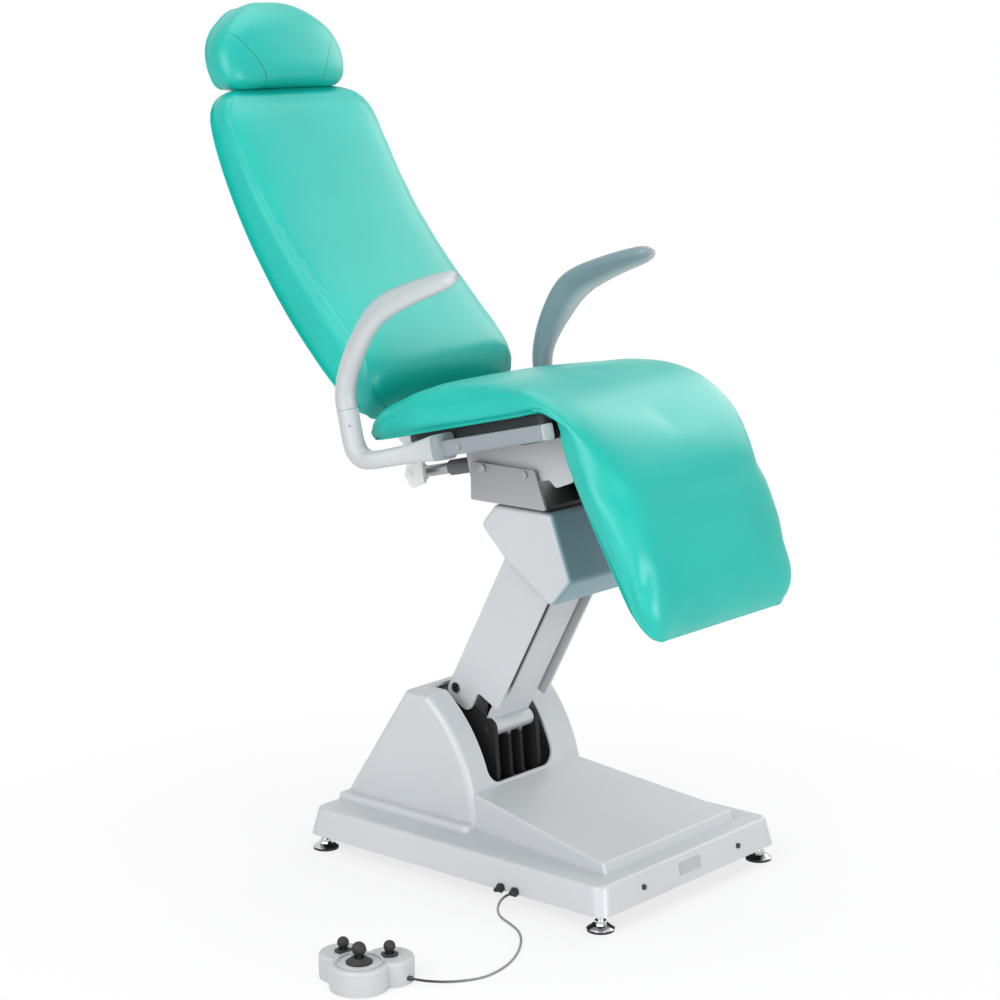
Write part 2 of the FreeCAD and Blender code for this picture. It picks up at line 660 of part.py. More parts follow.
def make_head_housing():
    """Shell with softly rounded sides, open below and notched behind for the links."""
    shape = [on_head(46.0, 0.0), on_head(81.0, -41.0), on_head(22.0, -99.0), on_head(-86.0, -172.0),
             on_head(-132.0, -120.0), on_head(-87.0, 0.0)]
    shell = slab_x(shape, -HEAD_HALF_W, HEAD_HALF_W, [14.0, 12.0, 14.0, 12.0, 12.0, 12.0])
    rim = [e for e in shell.Edges if e.BoundBox.XLength < 0.01]
    shell = shell.makeFillet(HEAD_EDGE, rim)
    w = HEAD_WALL
    inside = [on_head(46.0 - 0.45 * w, -w), on_head(81.0 - 1.3 * w, -41.0), on_head(96.0, -86.0),
              on_head(29.0, -136.0), on_head(-66.0, -206.0), on_head(-86.0 + 0.6 * w, -172.0),
              on_head(-132.0 + 1.2 * w, -120.0), on_head(-87.0 + 0.7 * w, -w)]
    cavity = slab_x(inside, -HEAD_HALF_W + w, HEAD_HALF_W - w)
    notch = block(-HEAD_NOTCH, HEAD_NOTCH, HEAD_Y + 34.0, HEAD_Y + 114.0, HEAD_TOP - 86.0, HEAD_TOP - 18.0)
    return shell.cut(cavity).cut(notch)


def make_head_frame():
    """Yoke of two plates under a cap, standing between the rear link's plates."""
    top = HEAD_TOP - HEAD_WALL
    rear = PIVOT_B[0] + UPRIGHT_BOSS
    plate = slab_x([(rear, top), (rear, PIVOT_B[1]), (PIVOT_C[0] + 12.0, PIVOT_C[1] - 14.0),
                    (PIVOT_C[0] - UPRIGHT_BOSS, PIVOT_C[1]), (CAP_FRONT, top)], UPRIGHT_IN, UPRIGHT_OUT)
    bosses = [rod_x(at, UPRIGHT_BOSS, UPRIGHT_IN, UPRIGHT_OUT) for at in (PIVOT_B, PIVOT_C)]
    cap = block(-UPRIGHT_OUT, UPRIGHT_OUT, CAP_FRONT, rear, top - 5.0, top)
    frame = joined([cap] + pair(joined([plate] + bosses)))
    return frame.cut(Part.makeCompound([rod_x(at, PIN_R, -BASE_W, BASE_W) for at in (PIVOT_B, PIVOT_C)]))


def make_tilt_bracket():
    low = HEAD_TOP + GASKET_T
    side = slab_x([(BRACKET_REAR, low), (BRACKET_REAR, BRACKET_TOP), (BRACKET_FRONT_HIGH, BRACKET_TOP),
                   (BRACKET_FRONT_LOW, low)], BRACKET_HALF_W - BRACKET_T, BRACKET_HALF_W,
                  [4.0, 5.0, 5.0, 4.0])
    floor = block(-BRACKET_HALF_W, BRACKET_HALF_W, BRACKET_FRONT_LOW + 6.0, BRACKET_REAR - 5.0,
                  low, low + BRACKET_T)
    saddle = block(TILT_ACT_X - 12.0, TILT_ACT_X + 12.0, TILT_BODY_END - 88.0, TILT_BODY_END - 68.0,
                   low + BRACKET_T, TILT_Z - TILT_CRANK)
    saddle = saddle.cut(tilt_body_rod())
    bracket = joined([floor, saddle] + pair(side))
    bores = [rod_x((TILT_Y, TILT_Z), TILT_PIN_R, -BASE_W, BASE_W),
             rod_x(BRACKET_SCREW, BRACKET_SCREW_R, -BASE_W, BASE_W)]
    return bracket.cut(Part.makeCompound(bores))


BRACKET_SCREW = (HEAD_Y - 38.0, TILT_Z)
TILT_CRANK_PIN = polar((0.0, 0.0), TILT_CRANK, -90.0 + TILT)


def tilt_body_rod():
    at = TILT_Z - TILT_CRANK
    return Part.makeCylinder(TILT_BODY_R, TILT_BODY_L, V(TILT_ACT_X, TILT_BODY_END, at), V(0, -1, 0))


def make_tilt_actuator():
    at = TILT_Z - TILT_CRANK
    bore = Part.makeCylinder(TILT_ROD_R + RUN, 70.0, V(TILT_ACT_X, TILT_BODY_END + 1.0, at), V(0, -1, 0))
    return tilt_body_rod().cut(bore)


def make_tilt_rod():
    at = TILT_Z - TILT_CRANK
    eye = slotted_eye(TILT_Y, at, 1.2, 5.0, 3.0, TILT_ACT_X - 5.0, TILT_ACT_X + 5.0)
    stem = Part.makeCylinder(TILT_ROD_R, 62.0, V(TILT_ACT_X, TILT_Y - 8.0, at), V(0, -1, 0))
    return joined([eye, stem])


# Seat frame and what is bolted to it, drawn level about the tilt pivot
def make_seat_gussets():
    gusset = slab_x([(45.0, TUBE_TOP), (45.0, -28.0), (24.0, -46.0), (-6.0, -46.0), (-20.0, -38.0),
                     (-140.0, -38.0), (-152.0, -54.0), (-196.0, -48.0), (-214.0, TUBE_TOP)],
                    GUSSET_OUT - GUSSET_T, GUSSET_OUT, [0.0, 14.0, 10.0, 10.0, 12.0, 8.0, 8.0, 14.0, 0.0])
    holes = [rod_x((0.0, 0.0), TILT_PIN_R + RUN, 0.0, BASE_W),
             rod_x(TILT_CRANK_PIN, TILT_CRANK_PIN_R, 0.0, BASE_W)]
    holes += [cross_tube(y) for y in (TUBE_REAR_Y, TUBE_FRONT_Y)]
    return pair(gusset.cut(Part.makeCompound(holes)))


def cross_tube(y):
    half = RAIL_X - RAIL_W / 2
    return block(-half, half, y - TUBE_W / 2, y + TUBE_W / 2, TUBE_LOW, TUBE_TOP)


def rail_wire():
    middle = (RAIL_LOW + RAIL_HIGH) / 2
    return rounded_section(V(RAIL_X, RAIL_FRONT, middle), V(1, 0, 0), V(0, 0, 1), RAIL_W,
                           RAIL_HIGH - RAIL_LOW, 5.0)


def rail_bar():
    return Part.Face(rail_wire()).extrude(V(0, RAIL_REAR - RAIL_FRONT, 0))


def make_hinge_ears():
    rear, front = TUBE_REAR_Y + TUBE_W / 2, TUBE_FRONT_Y - TUBE_W / 2
    back = slab_x([(rear, TUBE_LOW), (BACK_HINGE[0] + 16.0, BACK_HINGE[1] - 16.0),
                   (BACK_HINGE[0] + 16.0, BACK_HINGE[1] + 16.0), (BOARD_REAR + 8.0, TUBE_TOP),
                    (rear, TUBE_TOP)],
                  BACK_EAR_X, BACK_EAR_X + EAR_T, [0.0, 13.0, 13.0, 8.0, 0.0])
    knee = slab_x([(front, TUBE_TOP), (BOARD_FRONT - 6.0, TUBE_TOP), (KNEE[0] - 14.0, KNEE[1] + 13.0),
                   (KNEE[0] - 14.0, KNEE[1] - 14.0), (front, TUBE_LOW)],
                  KNEE_EAR_X, KNEE_EAR_X + EAR_T, [0.0, 4.0, 12.0, 12.0, 0.0])
    back = back.cut(rod_x(BACK_HINGE, BACK_SHAFT_R, 0.0, BASE_W))
    return pair(back) + pair(knee.cut(rod_x(KNEE, KNEE_PIN_R, 0.0, BASE_W)))


def make_seat_board():
    points = rectangle(BOARD_HALF_W, BOARD_FRONT, BOARD_REAR)
    return slab_z(points, TUBE_TOP, TUBE_TOP + BOARD_T, [20.0, 20.0, 60.0, 60.0])


SEAT_BASE = TUBE_TOP + BOARD_T + GAP


def knee_top(y):
    return KNEE_ARC_C[1] + (KNEE_ARC_R ** 2 - (y - KNEE_ARC_C[0]) ** 2) ** 0.5


def make_seat_cushion():
    rear, crown = SEAT_REAR, SEAT_CROWN
    rows = [(rear, 0.90, 5.0, 0.12 * crown), (rear - 5.0, 0.95, 1.5, 0.33 * crown),
            (rear - 16.0, 0.985, 0.0, 0.48 * crown), (rear - 53.0, 1.0, 0.0, 0.76 * crown),
            (rear - 108.0, 1.0, 0.0, crown), (-7.0, 1.0, 0.0, 0.98 * crown),
            (-80.0, 0.995, 0.0, 0.93 * crown), (-148.0, 0.985, 0.0, 0.88 * crown)]
    rows += [(y, 1.0 - 0.00015 * (-y), 0.0, knee_top(y) - SEAT_BASE) for y in (-190.0, -220.0, KNEE[0])]
    wires = [padded_section(V(0, y, SEAT_BASE + lift), V(0, 0, 1), SEAT_HALF_W * share, height)
             for y, share, lift, height in rows]
    pad = loft(wires)
    sector = slab_x([KNEE, (KNEE[0], KNEE[1] + 2 * NOSE_R), (KNEE[0] - 2 * NOSE_R, KNEE[1] + 2 * NOSE_R),
                     (KNEE[0] - 2 * NOSE_R, KNEE[1])], -LEG_HALF_W + 8.0, LEG_HALF_W - 8.0)
    nose = ring_x(KNEE, NOSE_R, NOSE_INNER_R, -LEG_HALF_W, LEG_HALF_W).common(sector)
    return joined([pad, nose])


def make_small_actuator(x, z, span, rod_end, motor_side, motor_drop, tube_y, body_r, rod_r):
    """Tube hung from a cross tube, with a blind rod bore at rod_end, +1 or -1 along Y, and a motor."""
    y0, y1 = span
    tube = Part.makeCylinder(body_r, y1 - y0, V(x, y0, z), V(0, 1, 0))
    mouth = y1 if rod_end > 0 else y0
    far = y0 if rod_end > 0 else y1
    motor = Part.makeCylinder(SMALL_BODY_R - 3.0, 58.0, V(x + motor_side, far + 8.0 * rod_end, z - motor_drop),
                              V(0, rod_end, 0))
    gear = slab_y([(x - 14.0, z - 14.0), (x + 14.0, z - 14.0), (x + 14.0, z + 14.0), (x - 14.0, z + 14.0)],
                  min(far, far + 14.0 * rod_end), max(far, far + 14.0 * rod_end), 4.0)
    shift = gear.copy()
    shift.translate(V(motor_side, 0, -motor_drop))
    bridge = slab_y([(x, z), (x + motor_side + 10.0, z - motor_drop), (x + motor_side, z - motor_drop - 10.0)],
                    min(far, far + 14.0 * rod_end), max(far, far + 14.0 * rod_end))
    lug = slab_x([(tube_y - 6.0, z), (tube_y + 6.0, z), (tube_y + 10.0, TUBE_LOW), (tube_y - 10.0, TUBE_LOW)],
                 x - 8.0, x + 8.0)
    depth = 0.72 * (y1 - y0)
    bore = Part.makeCylinder(rod_r + RUN, depth + 1.0, V(x, mouth + rod_end, z), V(0, -rod_end, 0))
    return joined([tube, gear, shift, bridge, motor, lug]).cut(bore)


def make_small_rod(x, z, pin_y, mouth, engage, travel, rod_end, rod_r):
    eye = slotted_eye(pin_y, z, travel, SMALL_PIN_R, 3.5, x - EYE_PLATE / 2, x + EYE_PLATE / 2)
    start = pin_y - rod_end * (SMALL_PIN_R + 3.0)
    length = abs(start - mouth) + engage
    stem = Part.makeCylinder(rod_r, length, V(x, start, z), V(0, -rod_end, 0))
    return joined([eye, stem])


BACK_PIN = polar(BACK_HINGE, BACK_CRANK, BACK_CRANK_AT)
BACK_AXIS_Z = BACK_HINGE[1] - BACK_CRANK * (1 + cos(radians(BACK_HALF_TURN))) / 2
BACK_RISE = BACK_CRANK * (1 - cos(radians(BACK_HALF_TURN))) / 2
LEG_PIN = polar(KNEE, LEG_CRANK, LEG_CRANK_AT)
LEG_AXIS_Z = KNEE[1] - LEG_CRANK * (1 + cos(radians(LEG_HALF_TURN))) / 2
LEG_RISE = LEG_CRANK * (1 - cos(radians(LEG_HALF_TURN))) / 2


# Arm rests
def make_arm_support():
    """Left-hand casting: socket on the rail, flat bar, round bend and upright post."""
    across, up = V(1, 0, 0), V(0, 0, 1)
    low = COLLAR_Z - 3.0
    sections = [(V(RAIL_X, COLLAR_Y, COLLAR_Z), up, COLLAR_W, COLLAR_H, 9.0),
                (V(RAIL_X + 2.0, COLLAR_Y + 30.0, COLLAR_Z - 0.5), up, COLLAR_W, COLLAR_H - 5.0, 9.0),
                (V((RAIL_X + POST_X) / 2, COLLAR_Y + 85.0, low), up, BAR_W, BAR_H + 3.0, 10.0)]
    for turn in (0.0, 30.0, 60.0, 90.0):
        share = turn / 90.0
        inward = V(0, -sin(radians(turn)), cos(radians(turn)))
        centre = V(POST_X - 6.0 * (1.0 - share), POST_Y - BEND_R, low + BEND_R) - inward * BEND_R
        width, height = BAR_W + share * (2 * POST_R - BAR_W), BAR_H + share * (2 * POST_R - BAR_H)
        sections.append((centre, inward, width, height, 11.0 + share * (POST_R - 11.0)))
    top = V(POST_X, POST_Y, ARM_JOINT_Z - ARM_LINE_GAP)
    sections.append((top, V(0, -1, 0), 2 * POST_R, 2 * POST_R, POST_R))
    body = loft([rounded_section(c, across, v, w, h, r) for c, v, w, h, r in sections])
    spigot = Part.makeCylinder(SPIGOT_R, SPIGOT_H + ARM_LINE_GAP, top)
    return joined([body, spigot]).cut(rail_bar()).cut(cross_tube(TUBE_REAR_Y))


def make_arm_rest():
    """Left-hand arm: round foot, forward sweep that broadens and leans inward, and a blunt tip."""
    foot = 2 * POST_R
    path = [(POST_Y, ARM_JOINT_Z, 90.0, foot, foot, 60.0),
            (POST_Y - 1.0, ARM_JOINT_Z + 16.0, 91.0, foot, foot, 60.0),
            (139.0, 211.0, 112.0, 45.0, 36.0, 58.0), (95.0, 264.0, 146.0, 58.0, 31.0, 52.0),
            (42.0, 304.0, 158.0, 63.0, 28.0, 48.0), (-20.0, 321.0, 172.0, 56.0, 27.0, 42.0),
            (-85.0, 330.0, 174.0, 48.0, 26.0, 36.0), (-132.0, 334.0, 176.0, 40.0, 24.0, 32.0),
            (-152.0, 335.5, 176.0, 29.0, 18.0, 30.0), (-160.0, 336.0, 176.0, 15.0, 9.0, 30.0)]
    wires = []
    for y, z, heading, width, height, lean in path:
        turn = radians(heading - 90.0)
        side, up = V(1, 0, 0), V(0, cos(turn), sin(turn))
        broad = side * cos(radians(lean)) - up * sin(radians(lean))
        thin = side * sin(radians(lean)) + up * cos(radians(lean))
        wires.append(rounded_section(V(POST_X, y, z), broad, thin, width, height, POST_R))
    arm = loft(wires)
    socket = Part.makeCylinder(SPIGOT_R + RUN, SPIGOT_H + 1.0, V(POST_X, POST_Y, ARM_JOINT_Z - 0.5))
    return arm.cut(socket)


# Back rest on one long arc, drawn in the level seat frame
def circle_through(a, b, c):
    (ax, ay), (bx, by), (cx, cy) = a, b, c
    d = 2 * (ax * (by - cy) + bx * (cy - ay) + cx * (ay - by))
    aa, bb, cc = ax ** 2 + ay ** 2, bx ** 2 + by ** 2, cx ** 2 + cy ** 2
    ux = (aa * (by - cy) + bb * (cy - ay) + cc * (ay - by)) / d
    uy = (aa * (cx - bx) + bb * (ax - cx) + cc * (bx - ax)) / d
    return (ux, uy), hypot(ax - ux, ay - uy)


BACK_C, BACK_R = circle_through(*BACK_CURVE)
BACK_FROM = degrees(atan2(BACK_CURVE[0][1] - BACK_C[1], BACK_CURVE[0][0] - BACK_C[0]))
BACK_TO = degrees(atan2(BACK_CURVE[2][1] - BACK_C[1], BACK_CURVE[2][0] - BACK_C[0]))


def back_at(share, depth):
    """Point on the back's arc: share of its height, depth in front of the rear skin."""
    return polar(BACK_C, BACK_R - depth, BACK_FROM + share * (BACK_TO - BACK_FROM))


def back_up(share):
    turn = radians(BACK_FROM + share * (BACK_TO - BACK_FROM))
    return V(0, -cos(turn), -sin(turn))


def back_band(x0, x1, share0, share1, depth0, depth1):
    middle = (share0 + share1) / 2
    corners = [side_point(back_at(s, d), x0) for s, d in
               ((share0, depth0), (middle, depth0), (share1, depth0),
                (share1, depth1), (middle, depth1), (share0, depth1))]
    edges = [arc(corners[0], corners[1], corners[2]), line(corners[2], corners[3]),
             arc(corners[3], corners[4], corners[5]), line(corners[5], corners[0])]
    return Part.Face(Part.Wire(edges)).extrude(V(x1 - x0, 0, 0))


def make_back_panel():
    band = back_band(-BACK_HALF_LOW, BACK_HALF_LOW, -0.04, 1.04, 0.0, BACK_PANEL_T)
    foot, head = back_at(0.0, 0.0), back_at(1.0, 0.0)
    chord = V(0, head[0] - foot[0], head[1] - foot[1])
    length = chord.Length
    chord.normalize()
    out = V(0, chord.z, -chord.y)
    start = side_point(foot) - out * -150.0
    points = [(-0.9 * BACK_HALF_LOW, 0.0), (0.9 * BACK_HALF_LOW, 0.0), (BACK_HALF_LOW - 4.0, 0.2 * length),
              (BACK_HALF_TOP - 4.0, 0.92 * length), (0.8 * BACK_HALF_TOP, length),
              (-0.8 * BACK_HALF_TOP, length), (-BACK_HALF_TOP + 4.0, 0.92 * length),
              (-BACK_HALF_LOW + 4.0, 0.2 * length)]
    wire = outline(points, [30.0, 30.0, 60.0, 40.0, 40.0, 40.0, 40.0, 60.0],
                   lambda x, s: start + V(x, 0, 0) + chord * s)
    return band.common(Part.Face(wire).extrude(out * -400.0))


def make_back_cushion():
    low, top, thick = BACK_HALF_LOW, BACK_HALF_TOP, BACK_THICK
    rows = [(0.004, 0.84 * low, 0.21 * thick), (0.025, 0.96 * low, 0.49 * thick), (0.075, low, 0.77 * thick),
            (0.2, low, thick), (0.42, low, 0.90 * thick), (0.65, low, 0.73 * thick), (0.85, top, 0.57 * thick),
            (0.93, 0.97 * top, 0.44 * thick), (0.975, 0.87 * top, 0.29 * thick),
            (0.997, 0.69 * top, 0.12 * thick)]
    wires = [padded_section(side_point(back_at(s, BACK_PANEL_T + GAP)), back_up(s), half, height)
             for s, half, height in rows]
    return loft(wires)


def make_back_frame():
    """Two levers on the hinge shaft that carry the panel, joined by the actuator's cross pin."""
    low, mid, high = back_at(0.06, 0.0), back_at(0.25, 0.0), back_at(0.46, 0.0)
    rear = [back_at(0.46, -10.0), back_at(0.25, -26.0), back_at(0.08, -30.0)]
    heel = polar(BACK_HINGE, 17.0, -20.0)
    toe_a, toe_b = (BACK_PIN[0] + 15.0, BACK_PIN[1]), (BACK_PIN[0] - 34.0, BACK_PIN[1] + 8.0)

    def at(p):
        return V(BACK_ARM_X, p[0], p[1])
    tip_a, tip_b = (BACK_PIN[0] + 3.0, BACK_PIN[1] - 27.0), (BACK_PIN[0] - 31.0, BACK_PIN[1] - 20.0)
    front = polar(BACK_HINGE, 17.0, 170.0)
    edges = [arc(at(low), at(mid), at(high)), line(at(high), at(rear[0])),
             arc(at(rear[0]), at(rear[1]), at(rear[2])), line(at(rear[2]), at(heel)),
             line(at(heel), at(toe_a)), line(at(toe_a), at(tip_a)),
             line(at(tip_a), at(tip_b)), line(at(tip_b), at(toe_b)), line(at(toe_b), at(front)),
             line(at(front), at(low))]
    arm = Part.Face(Part.Wire(edges)).extrude(V(BACK_ARM_T, 0, 0))
    tips = [e for e in arm.Edges if e.BoundBox.XLength > 1.0 and e.BoundBox.ZMax < BACK_PIN[1] - 15.0]
    arm = arm.makeFillet(7.0, tips)
    arm = joined([arm, rod_x(BACK_HINGE, 17.0, BACK_ARM_X, BACK_ARM_X + BACK_ARM_T)])
    tie_at = back_at(0.40, -10.0)
    tie = rod_x(tie_at, 9.0, -BACK_ARM_X, BACK_ARM_X)
    cross = rod_x(BACK_PIN, SMALL_PIN_R, -BACK_ARM_X - BACK_ARM_T - 5.0, BACK_ARM_X + BACK_ARM_T + 5.0)
    tie = tie.cut(back_band(-BACK_HALF_LOW, BACK_HALF_LOW, 0.0, 1.0, 0.0, 60.0))
    frame = joined(pair(arm) + [cross, tie])
    return frame.cut(rod_x(BACK_HINGE, BACK_SHAFT_R + RUN, -BASE_W, BASE_W))


# Head rest on two stems that slide in guides behind the back panel
SLIDE = V(0, sin(radians(SLIDE_LEAN)), cos(radians(SLIDE_LEAN)))


def stem_at(z, x=STEM_X, ahead=0.0):
    return V(x, STEM_Y + (z - BACK_CURVE[2][1]) * tan(radians(SLIDE_LEAN)) - ahead, z)


def make_head_guides():
    guides = []
    for x in (-STEM_X, STEM_X):
        sleeve = rod(stem_at(676.0, x), stem_at(748.0, x), STEM_R + 6.0)
        foot = block(x - 14.0, x + 14.0, 420.0, STEM_Y, 690.0, 735.0)
        foot = foot.cut(back_band(-BACK_HALF_LOW, BACK_HALF_LOW, 0.0, 1.0, 0.0, 200.0))
        guides.append(joined([sleeve, foot]).cut(rod(stem_at(600.0, x), stem_at(800.0, x), STEM_R + RUN)))
    return guides


def make_head_carrier():
    stems = [rod(stem_at(STEM_LOW, x), stem_at(STEM_HIGH, x), STEM_R) for x in (-STEM_X, STEM_X)]
    corner = V(-HEAD_HALF * 0.6, 0, 0)
    plate = Part.makeBox(HEAD_HALF * 1.2, 6.0, 92.0, corner)
    plate.rotate(V(0, 0, 0), V(1, 0, 0), -SLIDE_LEAN)
    plate.translate(stem_at(HEAD_LOW + 18.0, 0.0, STEM_R + 3.0))
    return joined([plate] + stems)


def make_head_cushion():
    rows = [(0.0, 0.66, 0.47), (0.05, 0.82, 0.70), (0.16, 0.955, 0.91), (0.36, 1.0, 1.0), (0.58, 0.865, 0.99),
            (0.77, 0.665, 0.91), (0.90, 0.46, 0.75), (0.97, 0.265, 0.54), (1.0, 0.145, 0.36)]
    wires = []
    for share, half, thick in rows:
        z = HEAD_LOW + share * (HEAD_HIGH - HEAD_LOW)
        origin = stem_at(z, 0.0, STEM_R + 3.0 + GAP)
        wires.append(padded_section(origin, V(0, -1, 0), HEAD_HALF * half, HEAD_THICK * thick, 14.0, 0.66))
    return loft(wires)


# Leg rest, hung from the knee hinge
LEG_S = V(0, -sin(radians(LEG_LEAN)), -cos(radians(LEG_LEAN)))
LEG_W = V(0, -cos(radians(LEG_LEAN)), sin(radians(LEG_LEAN)))


def on_leg(s, w):
    return (KNEE[0] + s * LEG_S.y + w * LEG_W.y, KNEE[1] + s * LEG_S.z + w * LEG_W.z)


def make_leg_cushion():
    end = LEG_LENGTH
    rows = [(12.0, 1.0, 0.64), (60.0, 1.0, 0.86), (115.0, 1.0, 0.97), (205.0, 1.0, 0.90), (300.0, 0.99, 0.80),
            (end - 64.0, 0.955, 0.68), (end - 26.0, 0.87, 0.48), (end - 6.0, 0.755, 0.28), (end, 0.64, 0.15)]
    wires = []
    for s, half, thick in rows:
        wires.append(padded_section(side_point(on_leg(s, GAP)), LEG_W, LEG_HALF_W * half, LEG_THICK * thick))
    return loft(wires).cut(rod_x(KNEE, NOSE_R + 2 * GAP, -BASE_W, BASE_W))


def make_leg_board():
    wire = outline(rectangle(LEG_BOARD_HALF_W, 52.0, LEG_LENGTH - 40.0), [10.0, 10.0, 60.0, 60.0],
                   lambda x, s: V(x, 0, 0) + side_point(on_leg(s, 0.0)))
    return Part.Face(wire).extrude(LEG_W * -LEG_BOARD_T)


def make_leg_frame():
    x0 = KNEE_EAR_X + EAR_T + 2.0
    back = -LEG_BOARD_T
    points = [(-4.0, -12.0), (40.0, back - 18.0), (250.0, back - 10.0), (262.0, back), (50.0, back),
              (10.0, -9.0)]
    arm = slab_x([on_leg(s, w) for s, w in points], x0, x0 + EAR_T, [0.0, 10.0, 8.0, 0.0, 6.0, 0.0])
    arm = joined([arm, rod_x(KNEE, 14.0, x0, x0 + EAR_T)])
    tie_at = on_leg(78.0, back - 11.0)
    tie = rod_x(tie_at, 11.0, -x0, x0)
    front = ((0.0, back), (LEG_LENGTH, back), (LEG_LENGTH, LEG_THICK), (0.0, LEG_THICK))
    tie = tie.cut(slab_x([on_leg(s, w) for s, w in front], -BASE_W, BASE_W))
    along = (LEG_PIN[0] - tie_at[0], LEG_PIN[1] - tie_at[1])
    reach = hypot(*along)
    unit, across = (along[0] / reach, along[1] / reach), (-along[1] / reach, along[0] / reach)

    def rim(at, width, more):
        return (at[0] + across[0] * width + unit[0] * more, at[1] + across[1] * width + unit[1] * more)
    crank = slab_x([rim(tie_at, -9.0, 0.0), rim(LEG_PIN, -10.0, 10.0), rim(LEG_PIN, 10.0, 10.0),
                    rim(tie_at, 9.0, 0.0)], 8.0, 14.0, [0.0, 9.5, 9.5, 0.0])
    pin = rod_x(LEG_PIN, SMALL_PIN_R, -14.0, 14.0)
    frame = joined(pair(arm) + [tie, pin] + pair(crank))
    return frame.cut(rod_x(KNEE, KNEE_PIN_R + RUN, -BASE_W, BASE_W))


# Foot control
def pedal_plan(inset):
    lobes = [(PEDAL_L, PEDAL_LOBE_R), (PEDAL_R, PEDAL_LOBE_R), (PEDAL_F, PEDAL_LOBE_F)]
    discs = [Part.Face(Part.Wire(Part.makeCircle(r - inset, V(x, y, 0)))) for (x, y), r in lobes]
    middle = Part.makePolygon([V(x, y, 0) for (x, y), r in lobes + lobes[:1]])
    return discs, Part.Face(middle)


def pedal_prism(inset, z0, z1):
    discs, middle = pedal_plan(inset)
    solids = [face.extrude(V(0, 0, z1 - z0)) for face in discs + [middle]]
    solid = joined(solids)
    solid.translate(V(0, 0, z0))
    return solid


def make_pedal_cover():
    low = PEDAL_FOOT_H + PEDAL_PLATE_H
    shell = pedal_prism(0.0, low, PEDAL_TOP)
    shell = shell.makeFillet(PEDAL_EDGE, [e for e in shell.Edges if e.BoundBox.ZMin > PEDAL_TOP - 0.01])
    hollow = pedal_prism(PEDAL_WALL, low - 1.0, PEDAL_TOP - PEDAL_WALL)
    holes = [Part.makeCylinder(GAITER_R - 3.0, 2 * PEDAL_WALL + 4.0, V(x, y, PEDAL_TOP - PEDAL_WALL - 2.0))
             for x, y in STICK_PLACES]
    return shell.cut(hollow).cut(Part.makeCompound(holes)).cut(make_boot(2 * BOOT_L, SIDE_GAP))


def make_boot(length, spare=0.0):
    foot = V(*CORD_ROUTE[-1])
    along = (foot - V(*CORD_ROUTE[-2])).normalize()
    return rod(foot, foot + along * length, BOOT_R + spare)


STICK_PLACES = (PEDAL_L, PEDAL_R, PEDAL_F)
STICK_PIVOT_Z = PEDAL_TOP - STICK_DEPTH


def make_pedal_base():
    """Plate on three pads, with a post under each joystick that ends in its ball cup."""
    top = PEDAL_FOOT_H + PEDAL_PLATE_H
    plate = pedal_prism(0.5, PEDAL_FOOT_H, top)
    pads = [Part.makeCylinder(9.0, PEDAL_FOOT_H, V(x, y, 0.0)) for x, y in STICK_PLACES]
    height = STICK_PIVOT_Z - 1.0 - top
    posts = [Part.makeCylinder(STICK_BALL_R + 3.0, height, V(x, y, top)) for x, y in STICK_PLACES]
    cups = [Part.makeSphere(STICK_BALL_R + RUN, V(x, y, STICK_PIVOT_Z)) for x, y in STICK_PLACES]
    return joined([plate] + pads + posts).cut(Part.makeCompound(cups))


def make_gaiter(at, radius, height):
    """Rubber dome on a flange, open round the stick by as much as the stick can lean."""
    x, y = at
    flange = Part.makeCylinder(radius, GAITER_FLANGE, V(x, y, PEDAL_TOP))
    lid = 0.46 * radius + STICK_R - 1.0
    dome = Part.makeCone(0.92 * radius, lid, height, V(x, y, PEDAL_TOP + GAITER_FLANGE))
    reach = STICK_DEPTH + GAITER_FLANGE + height
    lean = tan(radians(STICK_LEAN))
    bore = Part.makeCone(STICK_R + 1.0, STICK_R + 1.0 + reach * lean, reach, V(x, y, STICK_PIVOT_Z))
    return joined([flange, dome]).cut(bore)


def make_stick(at, rise, knob_r):
    x, y = at
    centre = V(x, y, PEDAL_TOP + rise)
    stem = Part.makeCylinder(STICK_R, rise + STICK_DEPTH, V(x, y, STICK_PIVOT_Z))
    seat = Part.makeSphere(STICK_BALL_R, V(x, y, STICK_PIVOT_Z))
    return joined([stem, Part.makeSphere(knob_r, centre), seat])


def make_pedal_ring():
    x, y = PEDAL_F
    outer = Part.makeCylinder(RING_R, RING_H, V(x, y, PEDAL_TOP))
    return outer.cut(Part.makeCylinder(RING_R - RING_W, RING_H, V(x, y, PEDAL_TOP)))


def make_cord():
    """Straight runs joined by tangent arcs, each as large as its two runs allow."""
    points = [V(*p) for p in CORD_ROUTE]
    edges, last, radii = [], points[0], []
    for before, corner, after in zip(points, points[1:], points[2:]):
        a, b = before - corner, after - corner
        run = 0.45 * min(a.Length, b.Length)
        a.normalize()
        b.normalize()
        half = acos(max(-1.0, min(1.0, a.dot(b)))) / 2
        radius = run * tan(half)
        radii.append(radius)
        enter, leave = corner + a * run, corner + b * run
        bisector = (a + b).normalize()
        middle = corner + bisector * (radius / sin(half) - radius)
        edges += [line(last, enter), arc(enter, middle, leave)]
        last = leave
    edges.append(line(last, points[-1]))
    path = Part.Wire(edges)
    first = points[1] - points[0]
    circle = Part.Wire(Part.makeCircle(CORD_R, points[0], first))
    tube = path.makePipeShell([circle], True, False)
    print("cord radii", " ".join("%.0f" % r for r in radii))
    print("cord length %.0f, volume ratio %.4f" % (path.Length, tube.Volume / (pi * CORD_R ** 2 * path.Length)))
    return tube


